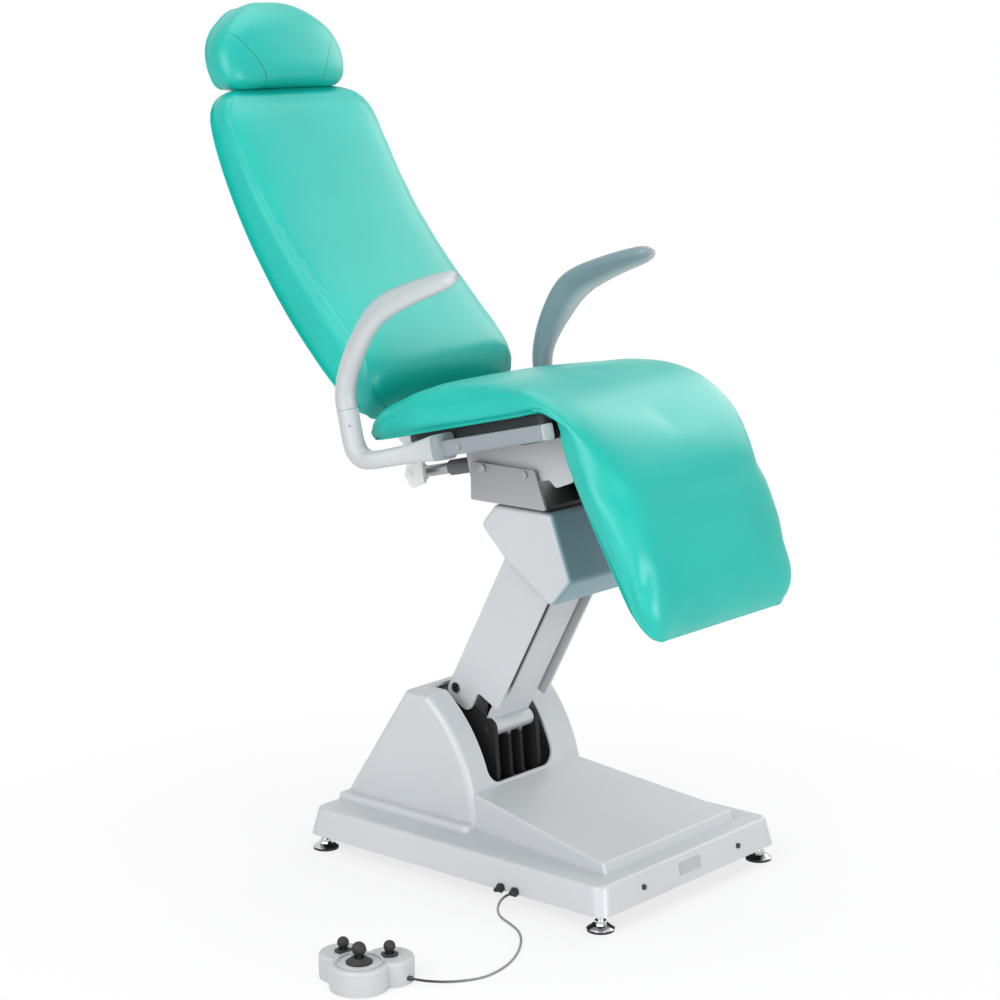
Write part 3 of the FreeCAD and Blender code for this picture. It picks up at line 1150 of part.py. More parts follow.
def make_gland(y, length):
    """Threaded neck through the skirt, hexagon and round nose, pointing out of the right side."""
    wall = -BASE_W / 2 + skirt_inset(GLAND_Z)
    neck = Part.makeCylinder(GLAND_R - 2.0, 16.0, V(wall + 12.0, y, GLAND_Z), V(-1, 0, 0))
    hexagon = slab_x([polar((y, GLAND_Z), GLAND_R, 60.0 * k) for k in range(6)], wall - 6.0, wall - 1.5)
    nose = Part.makeCone(GLAND_R - 2.0, CORD_R + 1.4, length, V(wall - 4.0, y, GLAND_Z), V(-1, 0, 0))
    return joined([neck, hexagon, nose])


def main():
    os.makedirs("parts", exist_ok=True)

    feet, pads = make_feet()
    export("base_chassis", make_base_chassis())
    export("base_cover", make_base_cover())
    export("levelling_feet", feet)
    export("foot_pads", pads)
    export("lift_pins", [headed_pin(PIVOT_A), plain_pin(PIVOT_D)])
    export("lift_actuator", make_lift_actuator())
    floor_top = FLOOR_Z + FLOOR_T
    export("control_box", slab_z(rectangle(90.0, 215.0, 325.0), floor_top, floor_top + 62.0, 8.0))
    export("cover_screws", make_cover_screws())
    export("front_plate", make_front_plate())
    export("cord_gland", make_gland(GLAND_Y, -BASE_W / 2 + skirt_inset(GLAND_Z) - 4.0 - CORD_ROUTE[0][0]))
    export("mains_inlet", make_gland(MAINS_Y, GLAND_L))

    export("pedal_base", make_pedal_base())
    export("pedal_cover", make_pedal_cover())
    export("pedal_ring", make_pedal_ring())
    gaiters = [make_gaiter(at, GAITER_R, GAITER_H) for at in (PEDAL_L, PEDAL_R)]
    export("joystick_gaiters", gaiters + [make_gaiter(PEDAL_F, BIG_GAITER_R, BIG_GAITER_H)])
    export("joystick_left", make_stick(PEDAL_L, KNOB_RISE, KNOB_R))
    export("joystick_right", make_stick(PEDAL_R, KNOB_RISE, KNOB_R))
    export("joystick_front", make_stick(PEDAL_F, BIG_KNOB_RISE, BIG_KNOB_R))
    export("pedal_cord", make_cord())
    export("pedal_boot", make_boot(BOOT_L))

    export("rear_link", make_rear_link())
    export("front_link", make_front_link())
    export("lift_rod", make_lift_rod())

    export("head_housing", make_head_housing())
    export("head_frame", make_head_frame())
    export("head_pins", [headed_pin(PIVOT_B), plain_pin(PIVOT_C)])
    gasket = rectangle(HEAD_HALF_W - HEAD_EDGE, CAP_FRONT, HEAD_Y + 36.0)
    export("head_gasket", slab_z(gasket, HEAD_TOP, HEAD_TOP + GASKET_T, 8.0))
    export("tilt_bracket", make_tilt_bracket())
    pivot = (TILT_Y, TILT_Z)
    inner = BRACKET_HALF_W - BRACKET_T
    tilt_pin = joined([rod_x(pivot, TILT_PIN_R, GUSSET_OUT - GUSSET_T - 2.0, BRACKET_HALF_W),
                       rod_x(pivot, TILT_PIN_R + 6.0, GUSSET_OUT + SIDE_GAP, inner),
                       rod_x(pivot, TILT_PIN_R + 2.0, BRACKET_HALF_W, BRACKET_HALF_W + 4.0)])
    export("tilt_pins", pair(tilt_pin))
    bracket_screw = joined([rod_x(BRACKET_SCREW, BRACKET_SCREW_R, inner - 2.0, BRACKET_HALF_W),
                            rod_x(BRACKET_SCREW, BRACKET_SCREW_HEAD, BRACKET_HALF_W, BRACKET_HALF_W + 4.0)])
    export("bracket_screws", pair(bracket_screw))
    export("tilt_actuator", make_tilt_actuator())
    export("tilt_rod", make_tilt_rod())

    export("seat_gussets", [seated(p) for p in make_seat_gussets()])
    export("cross_tubes", [seated(cross_tube(y)) for y in (TUBE_REAR_Y, TUBE_FRONT_Y)])
    export("side_rails", [seated(p) for p in pair(rail_bar())])
    export("hinge_ears", [seated(p) for p in make_hinge_ears()])
    export("tilt_crank_pin", seated(rod_x(TILT_CRANK_PIN, TILT_CRANK_PIN_R, TILT_ACT_X - 8.0, GUSSET_OUT)))
    export("seat_board", seated(make_seat_board()))
    export("seat_cushion", seated(make_seat_cushion()))
    shaft = BACK_ARM_X + BACK_ARM_T + 3.0
    export("back_hinge_shaft", seated(rod_x(BACK_HINGE, BACK_SHAFT_R, -shaft, shaft)))
    knee_pin = rod_x(KNEE, KNEE_PIN_R, KNEE_EAR_X - 3.0, KNEE_EAR_X + 2 * EAR_T + 5.0)
    export("knee_pins", [seated(p) for p in pair(knee_pin)])
    back_drive = make_small_actuator(BACK_ACT_X, BACK_AXIS_Z, BACK_BODY, 1, 0.0, 34.0, TUBE_REAR_Y,
                                     BACK_BODY_R, BACK_ROD_R)
    export("back_actuator", seated(back_drive))
    leg_drive = make_small_actuator(0.0, LEG_AXIS_Z, LEG_BODY, -1, 38.0, 0.0, LEG_LUG_Y,
                                    SMALL_BODY_R, SMALL_ROD_R)
    export("leg_actuator", seated(leg_drive))
    cap = Part.Face(rail_wire()).extrude(V(0, -4.0, 0))
    export("rail_end_caps", [seated(p) for p in pair(cap)])
    rail_face = RAIL_X + RAIL_W / 2
    clamp = rod_x((COLLAR_Y - 40.0, (RAIL_LOW + RAIL_HIGH) / 2), 6.0, rail_face, rail_face + 2.5)
    export("clamp_screws", [seated(p) for p in pair(clamp)])
    support, rest = make_arm_support(), make_arm_rest()
    export("armrest_support_left", seated(support))
    export("armrest_support_right", seated(mirrored(support)))
    export("armrest_left", seated(rest))
    export("armrest_right", seated(mirrored(rest)))

    export("back_frame", seated(make_back_frame()))
    export("back_panel", seated(make_back_panel()))
    export("back_cushion", seated(make_back_cushion()))
    mouth = BACK_BODY[1]
    back_rod = make_small_rod(BACK_ACT_X, BACK_AXIS_Z, BACK_PIN[0], mouth, BACK_ROD_HELD, BACK_RISE, 1,
                              BACK_ROD_R)
    export("back_rod", seated(back_rod))
    export("headrest_guides", [seated(p) for p in make_head_guides()])
    export("headrest_carrier", seated(make_head_carrier()))
    export("headrest_cushion", seated(make_head_cushion()))

    export("legrest_frame", seated(make_leg_frame()))
    export("legrest_board", seated(make_leg_board()))
    export("legrest_cushion", seated(make_leg_cushion()))
    leg_rod = make_small_rod(0.0, LEG_AXIS_Z, LEG_PIN[0], LEG_BODY[0], LEG_ROD_HELD, LEG_RISE, -1,
                             SMALL_ROD_R)
    export("leg_rod", seated(leg_rod))


main()
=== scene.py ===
"""Looks for an electrically lifted treatment chair with foot control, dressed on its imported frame."""

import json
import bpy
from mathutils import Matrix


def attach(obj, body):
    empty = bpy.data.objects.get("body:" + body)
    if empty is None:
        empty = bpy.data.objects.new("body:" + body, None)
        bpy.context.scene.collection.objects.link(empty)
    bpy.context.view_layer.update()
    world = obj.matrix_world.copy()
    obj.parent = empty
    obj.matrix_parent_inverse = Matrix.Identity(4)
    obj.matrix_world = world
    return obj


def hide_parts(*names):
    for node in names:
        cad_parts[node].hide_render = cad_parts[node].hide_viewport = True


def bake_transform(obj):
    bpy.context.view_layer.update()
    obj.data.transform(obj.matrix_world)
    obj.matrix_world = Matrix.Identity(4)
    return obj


bl_info = {
    "name": "Treatment chair",
    "version": (1, 0, 0),
    "blender": (4, 5, 0),
    "location": "3D View > Sidebar > Chair",
    "description": "Upholstery, finishes, cord and studio of a lifted treatment chair",
    "category": "Object",
}

from math import cos, hypot, pi, radians, sin, tan

import bmesh
import bpy
from bpy.props import FloatProperty, FloatVectorProperty, IntProperty, PointerProperty
from mathutils import Matrix, Vector

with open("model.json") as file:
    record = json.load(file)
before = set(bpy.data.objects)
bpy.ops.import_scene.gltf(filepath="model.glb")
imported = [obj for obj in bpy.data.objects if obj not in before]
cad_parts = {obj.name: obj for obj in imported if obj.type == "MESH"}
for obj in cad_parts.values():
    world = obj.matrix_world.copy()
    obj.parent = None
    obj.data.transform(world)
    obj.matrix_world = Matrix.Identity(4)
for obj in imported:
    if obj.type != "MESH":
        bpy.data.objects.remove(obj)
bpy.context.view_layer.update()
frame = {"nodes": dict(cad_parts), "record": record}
RECORD = frame["record"]
JOINTS = {joint["name"]: joint for joint in RECORD["behaviour"]["joints"]}
TILT_PIVOT = Vector(JOINTS["seat_tilt"]["pos_m"])
SEAT_UP = Vector(JOINTS["armrest_left_swing"]["axis"])
SEAT_REAR = Vector((0.0, SEAT_UP.z, -SEAT_UP.y))

# The foot control's cord, as its route runs from the gland to the boot
CORD_ROUTE = (
    (-0.274, -0.162, 0.036), (-0.287, -0.162, 0.036), (-0.297, -0.158, 0.0275), (-0.301, -0.156, 0.016),
    (-0.304, -0.1605, 0.0065), (-0.308, -0.174, 0.0023), (-0.317, -0.199, 0.0023), (-0.334, -0.234, 0.0023),
    (-0.364, -0.266, 0.0023), (-0.411, -0.298, 0.0023), (-0.463, -0.320, 0.0023), (-0.517, -0.326, 0.0023),
    (-0.550, -0.314, 0.0023), (-0.578, -0.294, 0.003), (-0.598, -0.279, 0.006), (-0.613, -0.267, 0.009),
    (-0.623, -0.254, 0.012),
)

# Half sections of the pads, from the middle of the front to the middle of the base, as shares of the half
# width and of the thickness; what lies behind the base is in tenths of a metre
SEAT_SECTION = (
    (0.0, 1.0), (0.35, 0.995), (0.65, 0.975), (0.83, 0.92), (0.93, 0.81), (0.985, 0.62), (1.0, 0.42),
    (0.99, 0.22), (0.965, 0.06), (0.93, 0.0), (0.62, 0.0), (0.31, 0.0), (0.0, 0.0))
BACK_SECTION = (
    (0.0, 1.0), (0.35, 0.995), (0.65, 0.975), (0.83, 0.92), (0.93, 0.80), (0.985, 0.61), (1.0, 0.40),
    (1.003, 0.14), (1.003, -0.06), (0.995, -0.085), (0.986, -0.06), (0.9855, 0.003), (0.0, 0.003))
HEAD_SECTION = (
    (0.0, 1.0), (0.35, 0.985), (0.62, 0.945), (0.80, 0.875), (0.91, 0.77), (0.975, 0.62), (1.0, 0.44),
    (0.995, 0.25), (0.965, 0.08), (0.91, 0.0), (0.60, 0.0), (0.30, 0.0), (0.0, 0.0))
LIP_UNIT = 0.1
THINNEST = 0.02

# How finely a pad is cut around its section and measured along its rows, and what is welded into one point
PAD_AROUND = 144
FINE_STEP = 0.05
WELD = 2e-5

# Outside of the knee and the leg rest's own line, in the level seat frame, and the cover's bend at the knee
KNEE_ARC = (-0.110, -0.124)
LEG_TOP = (-0.262, 0.056)
LEG_LEAN = radians(15.7)

# The back panel's arc in the level seat frame: its centre, its radius, its turn at the foot and the head, and
# how far inside it the panel's front lies
BACK_ARC = (-0.6362785, 0.8432169)
BACK_RADIUS = 1.1013931
BACK_TURN = (-0.7043766, -0.0619766)
PANEL_FRONT = 0.0123

# The head rest's rear face in the level seat frame: where it starts and its lean; then its seams: the height
# that they are counted from, their line, and where they fade to the rear and to the top
HEAD_FOOT = (0.4797, 0.775)
HEAD_LEAN = radians(4.0)
SEAM_FOOT = 0.830
SEAM_LINE = (3.0, 0.57, 0.0925)
SEAM_REAR = (0.452, 0.444)
SEAM_TOP = (0.062, 0.054)

# The arm supports: how finely their bars are cut, and their post's set screw
BAR_AROUND = 48
BAR_STEPS = 12
SET_SCREW = (0.288, 0.1452, 0.118)

# What the photograph's camera looks at
VIEW_AIM = Vector((0.0, 0.0923, 0.6673))
SENSOR_MM = 36.0


def knee_at(turn, reach):
    return KNEE_ARC[0] + reach * cos(radians(turn)), KNEE_ARC[1] + reach * sin(radians(turn))


def leg_at(down, out):
    return (LEG_TOP[0] - down * sin(LEG_LEAN) - out * cos(LEG_LEAN),
            LEG_TOP[1] - down * cos(LEG_LEAN) + out * sin(LEG_LEAN))


def back_at(share, depth):
    turn = BACK_TURN[0] + share * (BACK_TURN[1] - BACK_TURN[0])
    return BACK_ARC[0] + (BACK_RADIUS - depth) * cos(turn), BACK_ARC[1] + (BACK_RADIUS - depth) * sin(turn)


def head_at(up, depth):
    return HEAD_FOOT[0] + (up - HEAD_FOOT[1]) * tan(HEAD_LEAN) - depth, up


def seat_point(x, rear, up):
    """A point of the level seat frame about the tilt pivot, at the tilt that the chair rests at."""
    return TILT_PIVOT + Vector((x, 0.0, 0.0)) + SEAT_REAR * rear + SEAT_UP * up


def seat_local(point):
    offset = point - TILT_PIVOT
    return offset.x, offset.dot(SEAT_REAR), offset.dot(SEAT_UP)


def clamped(share):
    return min(1.0, max(0.0, share))


class Wire:
    """A shader value whose arithmetic adds Math nodes."""

    def __init__(self, finish, socket):
        self.finish = finish
        self.socket = socket

    def math(self, operation, first, second):
        return self.finish.node("ShaderNodeMath", {"operation": operation}, {0: first, 1: second})

    def __add__(self, other):
        return self.math("ADD", self, other)

    def __mul__(self, other):
        return self.math("MULTIPLY", self, other)

    def __sub__(self, other):
        return self.math("SUBTRACT", self, other)

    def __rsub__(self, other):
        return self.math("SUBTRACT", other, self)

    def __abs__(self):
        return self.math("ABSOLUTE", self, 0.0)


class Finish:
    """One material, or the room's light, and the only way that its nodes are made."""

    def __init__(self, name, holder=None, output="ShaderNodeOutputMaterial"):
        self.material = holder or bpy.data.materials.new(name)
        self.material.use_nodes = True
        self.tree = self.material.node_tree
        self.tree.nodes.clear()
        self.output = self.tree.nodes.new(output)

    def node(self, kind, settings=None, sockets=None, out=0):
        made = self.tree.nodes.new(kind)
        for key, value in (settings or {}).items():
            setattr(made, key, value)
        for key, value in (sockets or {}).items():
            if isinstance(value, Wire):
                self.tree.links.new(value.socket, made.inputs[key])
            else:
                made.inputs[key].default_value = value
        return Wire(self, made.outputs[out])

    def coordinates(self):
        return self.node("ShaderNodeTexCoord", out=3)

    def place(self):
        """The three Object coordinates as separate values."""
        axes = self.node("ShaderNodeSeparateXYZ", {}, {0: self.coordinates()}).socket.node.outputs
        return [Wire(self, axis) for axis in axes]

    def distance(self, point):
        return self.node("ShaderNodeVectorMath", {"operation": "DISTANCE"},
                         {0: self.coordinates(), 1: point}, out=1)

    def along(self, direction):
        """How far a point lies from the tilt pivot in one direction."""
        offset = self.node("ShaderNodeVectorMath", {"operation": "SUBTRACT"},
                           {0: self.coordinates(), 1: TILT_PIVOT})
        return self.node("ShaderNodeVectorMath", {"operation": "DOT_PRODUCT"},
                         {0: offset, 1: direction}, out=1)

    def seen(self):
        """1 for rays that meet the background straight, mirrored or through glass."""
        rays = self.node("ShaderNodeLightPath").socket.node.outputs
        kinds = [Wire(self, rays[kind]) for kind in ("Is Camera Ray", "Is Glossy Ray", "Is Transmission Ray")]
        return self.ramp(kinds[0] + kinds[1] + kinds[2], 0.0, 1.0)

    def noise(self, scale, detail=3.0, roughness=0.5):
        return self.node("ShaderNodeTexNoise", {}, {
            "Vector": self.coordinates(), "Scale": scale, "Detail": detail, "Roughness": roughness})

    def ramp(self, value, low, high):
        return self.node("ShaderNodeMapRange", {"clamp": True}, {
            "Value": value, "From Min": low, "From Max": high, "To Min": 0.0, "To Max": 1.0})

    def mix(self, factor, first, second):
        return self.node("ShaderNodeMix", {"data_type": "RGBA"}, {0: factor, 6: first, 7: second}, out=2)

    def bump(self, height, strength, distance):
        return self.node("ShaderNodeBump", {}, {"Height": height, "Strength": strength, "Distance": distance})

    def surface(self, shader):
        self.tree.links.new(shader.socket, self.output.inputs["Surface"])
        return self.material

    def principled(self, sockets):
        return self.surface(self.node("ShaderNodeBsdfPrincipled", {}, sockets))


def rgba(colour, gain=1.0):
    return (*(channel * gain for channel in colour[:3]), 1.0)


def head_seams(finish, width):
    """Lines of the head rest's two side seams, which lean out towards the top."""
    x = finish.place()[0]
    up = finish.along(SEAT_UP) - SEAM_FOOT
    line = up * up * SEAM_LINE[0] + up * SEAM_LINE[1] + SEAM_LINE[2]
    front = finish.ramp(finish.along(SEAT_REAR), *SEAM_REAR)
    low = finish.ramp(up, *SEAM_TOP)
    return (1.0 - finish.ramp(abs(abs(x) - line), 0.35 * width, width)) * front * low


def vinyl_finish(name, colour, seam_width=0.0):
    """Smooth coated upholstery: fine leather grain, soft mottling and a sunk thread line on a seam, darkened
    as painted shade in the groove.
    """
    finish = Finish(name)
    mottle = finish.ramp(finish.noise(5.0, 4.0), 0.35, 0.7)
    pores = finish.node("ShaderNodeTexVoronoi", {"feature": "DISTANCE_TO_EDGE"}, {
        "Vector": finish.coordinates(), "Scale": 900.0})
    grain = finish.ramp(pores, 0.0, 0.22)
    creases = finish.noise(14.0, 3.0, 0.6)
    tone = finish.mix(mottle, rgba(colour, 0.94), rgba(colour, 1.05))
    height = grain * 0.3 + finish.noise(260.0, 2.0) * 0.4 + creases * 1.6
    if seam_width:
        seam = head_seams(finish, seam_width)
        puff = head_seams(finish, 5.0 * seam_width)
        # painted shade: the seam's line is darkened to stand for the shade in its groove
        tone = finish.mix(seam, tone, rgba(colour, 0.18))
        height = height - puff * 4.0
    return finish.principled({
        "Base Color": tone, "Roughness": finish.noise(40.0) * 0.10 + 0.33,
        "Specular IOR Level": 0.45, "Coat Weight": 0.10, "Coat Roughness": 0.28,
        "Normal": finish.bump(height, 0.16, 0.0004)})


def masked_paint(name, colour, other, rough, mask_of, dull=0.0):
    """Powder coat with a second colour, parted by a mask made from the finish's own coordinates; on the link,
    bracket, head and arm rests the second colour is painted shade, with painted reflection on the head.

    A dull other colour is rougher, and half dull leaves it no coat.
    """
    finish = Finish(name)
    drift = finish.ramp(finish.noise(3.0, 4.0), 0.3, 0.75)
    mask = mask_of(finish)
    tone = finish.mix(drift, rgba(colour, 0.96), rgba(colour, 1.04))
    dark = finish.mix(drift, rgba(other, 0.92), rgba(other, 1.08))
    return finish.principled({
        "Base Color": finish.mix(mask, tone, dark),
        "Roughness": mask * dull + finish.noise(120.0) * 0.06 + rough,
        "Coat Weight": mask * (-0.2 * dull) + 0.1, "Coat Roughness": 0.25,
        "Normal": finish.bump(finish.noise(700.0, 2.0), 0.06, 0.0004)})


def cord_finish(name, colour):
    """Grey sheath that darkens towards the gland and the boot."""
    finish = Finish(name)
    gland = finish.ramp(finish.distance(CORD_ROUTE[0]), 0.035, 0.012)
    boot = finish.ramp(finish.distance(CORD_ROUTE[-1]), 0.120, 0.030)
    scuff = finish.ramp(finish.noise(90.0, 3.0), 0.3, 0.7)
    tone = finish.mix(scuff, rgba(colour, 0.9), rgba(colour, 1.08))
    return finish.principled({
        "Base Color": finish.mix(finish.ramp(gland + boot, 0.0, 1.0), tone, rgba(colour, 0.10)),
        "Roughness": finish.noise(60.0) * 0.12 + 0.42, "Normal": finish.bump(scuff, 0.06, 0.0003)})


def paint_finish(name, colour, rough, speckle=0.04):
    """Powder coat: fine orange peel, slight tone drift and rubbed patches."""
    finish = Finish(name)
    drift = finish.ramp(finish.noise(3.0, 4.0), 0.3, 0.75)
    wear = finish.ramp(finish.noise(38.0, 6.0, 0.7), 0.62, 0.8)
    tone = finish.mix(drift, rgba(colour, 1.0 - speckle), rgba(colour, 1.0 + speckle))
    return finish.principled({
        "Base Color": tone, "Roughness": wear * 0.08 + finish.noise(120.0) * 0.06 + rough,
        "Coat Weight": 0.1, "Coat Roughness": 0.25,
        "Normal": finish.bump(finish.noise(700.0, 2.0), 0.06, 0.0004)})


def plastic_finish(name, colour, rough):
    """Moulded plastic with a fine spark-eroded texture."""
    finish = Finish(name)
    drift = finish.ramp(finish.noise(6.0, 3.0), 0.3, 0.7)
    texture = finish.noise(1400.0, 2.0)
    return finish.principled({
        "Base Color": finish.mix(drift, rgba(colour, 0.96), rgba(colour, 1.03)),
        "Roughness": finish.noise(60.0) * 0.12 + rough,
        "Normal": finish.bump(texture, 0.10, 0.0003)})


def metal_finish(name, colour, rough, brush=0.0):
    """Bare or plated metal; brush draws lathe marks along one axis."""
    finish = Finish(name)
    stretched = finish.node("ShaderNodeMapping", {}, {
        "Vector": finish.coordinates(), "Scale": (20.0, 900.0, 900.0)})
    marks = finish.node("ShaderNodeTexNoise", {}, {"Vector": stretched, "Scale": 1.0, "Detail": 3.0})
    smudge = finish.ramp(finish.noise(25.0, 4.0), 0.4, 0.8)
    return finish.principled({
        "Base Color": finish.mix(smudge, rgba(colour), rgba(colour, 0.88)), "Metallic": 1.0,
        "Roughness": smudge * 0.08 + marks * brush + rough,
        "Normal": finish.bump(marks, 0.02 + 0.2 * brush, 0.0002)})


def clear_finish(name, colour):
    """Clear moulded ring: mostly see-through, with a glossy skin."""
    finish = Finish(name)
    cloud = finish.ramp(finish.noise(30.0), 0.3, 0.8)
    return finish.principled({
        "Base Color": finish.mix(cloud, rgba(colour), rgba(colour, 0.92)), "Roughness": cloud * 0.05 + 0.08,
        "Alpha": cloud * 0.1 + 0.42, "Specular IOR Level": 0.6})


class ChairColours(bpy.types.PropertyGroup):
    """Colours that a user would change."""

    vinyl: FloatVectorProperty(name="Upholstery", description="Coated upholstery", subtype="COLOR",
                               default=(0.004, 0.440, 0.372), min=0.0, max=1.0)
    silver: FloatVectorProperty(name="Base paint", description="Powder coat of base, lift and rails",
                                subtype="COLOR", default=(0.560, 0.580, 0.600), min=0.0, max=1.0)
    # also the colour of the painted shade in the front link's gap and inside the tilt bracket
    black: FloatVectorProperty(name="Black paint", description="Chassis and inner frames", subtype="COLOR",
                               default=(0.012, 0.012, 0.014), min=0.0, max=1.0)
    arm: FloatVectorProperty(name="Arm rests", description="Moulded arm rests", subtype="COLOR",
                             default=(0.470, 0.491, 0.504), min=0.0, max=1.0)
    white: FloatVectorProperty(name="Lever plates", description="White back levers", subtype="COLOR",
                               default=(0.780, 0.780, 0.770), min=0.0, max=1.0)
    pedal: FloatVectorProperty(name="Foot control", description="Pale foot control housing", subtype="COLOR",
                               default=(0.500, 0.505, 0.515), min=0.0, max=1.0)
    cord: FloatVectorProperty(name="Cord", description="Grey cord sheath", subtype="COLOR",
                              default=(0.240, 0.245, 0.255), min=0.0, max=1.0)


class ChairSizes(bpy.types.PropertyGroup):
    """Sizes and steps that a user would change."""

    cord_diameter: FloatProperty(name="Cord diameter", description="Outside of the cord's sheath",
                                 default=0.0044, min=0.003, max=0.01, unit="LENGTH")
    cell: FloatProperty(name="Pad mesh", description="Cell of a pad's mesh along its length", default=0.009,
                        min=0.004, max=0.02, unit="LENGTH")
    slack: FloatProperty(name="Cover slack", description="How much smaller the cover is cut than the pad",
                         default=0.004, min=0.0, max=0.02, unit="LENGTH")
    swell: FloatProperty(name="Pad swell", description="Most that the stuffing pushes the cover out",
                         default=0.006, min=0.0, max=0.03, unit="LENGTH")
    seam_width: FloatProperty(name="Seam width", description="Half width of a sewn groove", default=0.0011,
                              min=0.0005, max=0.01, unit="LENGTH")
    stuffing: FloatProperty(name="Stuffing pressure", description="Cloth pressure of the pads", default=4.0,
                            min=0.0, max=10.0)
    easing: IntProperty(name="Cover easing", description="Times that the cover's puckers are smoothed",
                        default=7, min=0, max=40)
    steps: IntProperty(name="Settling frames", description="Frames that the cover settles for", default=20,
                       min=2, max=60)


class StageSettings(bpy.types.PropertyGroup):
    """Camera and light of the studio."""

    lens: FloatProperty(name="Lens", description="Focal length on a 36 mm sensor", default=88.667,
                        min=20.0, max=300.0)
    distance: FloatProperty(name="Distance", description="Camera to the chair's middle", default=4.5714,
                            min=1.0, max=20.0, unit="LENGTH")
    azimuth: FloatProperty(name="Azimuth", description="Turn of the view from the chair's front",
                           default=radians(-48.8168), subtype="ANGLE")
    pitch: FloatProperty(name="Pitch", description="Downward tilt of the view", default=radians(11.3539),
                         subtype="ANGLE")
    roll: FloatProperty(name="Roll", description="Lean of the view", default=radians(-0.5589), subtype="ANGLE")
    key: FloatProperty(name="Key light", description="Power of the side softbox", default=64.0, min=0.0)
    world: FloatProperty(name="Room light", description="Strength of the room's even light", default=0.36,
                         min=0.0)


def new_object(name, mesh):
    made = bpy.data.objects.new(name, mesh)
    bpy.context.scene.collection.objects.link(made)
    return made


def object_of(name, shape):
    """An object with the shape's mesh; the shape is freed."""
    mesh = bpy.data.meshes.new(name)
    shape.to_mesh(mesh)
    shape.free()
    return new_object(name, mesh)


def curve_at(points, place):
    """Catmull-Rom curve through points of any size, at a place counted in points."""
    index = max(0, min(int(place), len(points) - 2))
    t = place - index
    near = [points[max(0, min(len(points) - 1, index + step))] for step in (-1, 0, 1, 2)]
    shares = (-0.5 * t + t * t - 0.5 * t ** 3, 1.0 - 2.5 * t * t + 1.5 * t ** 3,
              0.5 * t + 2.0 * t * t - 1.5 * t ** 3, -0.5 * t * t + 0.5 * t ** 3)
    return tuple(sum(share * value for share, value in zip(shares, values)) for values in zip(*near))


def even_places(rows, cell):
    """Places along a pad's rows, about a cell apart on the longer of its two faces."""
    fine = [step * FINE_STEP for step in range(round((len(rows) - 1) / FINE_STEP) + 1)]
    travel = [0.0]
    for first, last in zip(fine, fine[1:]):
        a, b = curve_at(rows, first), curve_at(rows, last)
        travel.append(travel[-1] + max(hypot(b[0] - a[0], b[1] - a[1]), hypot(b[2] - a[2], b[3] - a[3]),
                                       abs(b[4] - a[4])))
    count = round(travel[-1] / cell)
    places, index = [], 0
    for step in range(count + 1):
        target = travel[-1] * step / count
        while index < len(fine) - 2 and travel[index + 1] < target:
            index += 1
        share = (target - travel[index]) / (travel[index + 1] - travel[index])
        places.append(fine[index] + FINE_STEP * share)
    return places


def lofted(name, rows, section, cell):
    """A closed pad: a grid bent round its section and drawn along its rows, whose end rows close it.

    A row holds the front's rear and up, the base's rear and up, and the half width.
    """
    places = even_places(rows, cell)
    last = len(places) - 1
    shape = bmesh.new()
    bmesh.ops.create_grid(shape, x_segments=PAD_AROUND, y_segments=last, size=1.0)
    for vertex in shape.verts:
        turn = vertex.co.x + 1.0
        side = 1.0 if turn <= 1.0 else -1.0
        turn = min(turn, 2.0 - turn)
        row = round((vertex.co.y + 1.0) * 0.5 * last)
        front_rear, front_up, base_rear, base_up, half = curve_at(rows, places[row])
        if row in (0, last):
            turn = min(turn, 1.0 - turn)
        wide, high = curve_at(section, turn * (len(section) - 1))
        if row in (0, last):
            high = 0.5
        thick = hypot(front_rear - base_rear, front_up - base_up)
        reach = high if high > 0.0 else high * LIP_UNIT / max(thick, THINNEST)
        vertex.co = seat_point(side * wide * half, base_rear + (front_rear - base_rear) * reach,
                               base_up + (front_up - base_up) * reach)
    bmesh.ops.remove_doubles(shape, verts=shape.verts, dist=WELD)
    bmesh.ops.recalc_face_normals(shape, faces=shape.faces)
    return object_of(name, shape)


def stuffed(piece, held, sizes):
    """Swell the cover by cloth pressure; held(normal) keeps its base on what carries it."""
    pinned = {v.index for v in piece.data.vertices if held(v.normal)}
    normals = [v.normal.copy() for v in piece.data.vertices]
    for vertex, normal in zip(piece.data.vertices, normals):
        if vertex.index not in pinned:
            vertex.co -= normal * sizes.slack
    before = [v.co.copy() for v in piece.data.vertices]
    group = piece.vertex_groups.new(name="held")
    group.add(sorted(pinned), 1.0, "REPLACE")
    cloth = piece.modifiers.new("Cover", "CLOTH")
    cloth.settings.use_pressure = True
    cloth.settings.uniform_pressure_force = sizes.stuffing
    cloth.settings.vertex_group_mass = group.name
    cloth.settings.effector_weights.gravity = 0.0
    cloth.settings.tension_stiffness = 30.0
    cloth.settings.compression_stiffness = 30.0
    cloth.settings.bending_stiffness = 4.0
    cloth.point_cache.frame_end = sizes.steps
    scene = bpy.context.scene
    for step in range(1, sizes.steps + 1):
        scene.frame_set(step)
    settled = piece.evaluated_get(bpy.context.evaluated_depsgraph_get()).to_mesh()
    moved = [v.co.copy() for v in settled.vertices]
    piece.modifiers.remove(cloth)
    piece.vertex_groups.remove(group)
    shifts = []
    for rest, new in zip(before, moved):
        shift = new - rest
        shifts.append(shift * min(1.0, sizes.swell / max(shift.length, 1e-9)))
    for _ in range(sizes.easing):
        shifts = eased(piece.data, shifts)
    for vertex, rest, shift in zip(piece.data.vertices, before, shifts):
        vertex.co = rest + shift
    scene.frame_set(1)


def eased(mesh, shifts):
    """Shifts averaged with those of their neighbours, which takes sharp puckers out of the cover."""
    sums = [shift.copy() for shift in shifts]
    counts = [1] * len(shifts)
    for edge in mesh.edges:
        first, last = edge.vertices
        sums[first] += shifts[last]
        sums[last] += shifts[first]
        counts[first] += 1
        counts[last] += 1
    return [total / count for total, count in zip(sums, counts)]


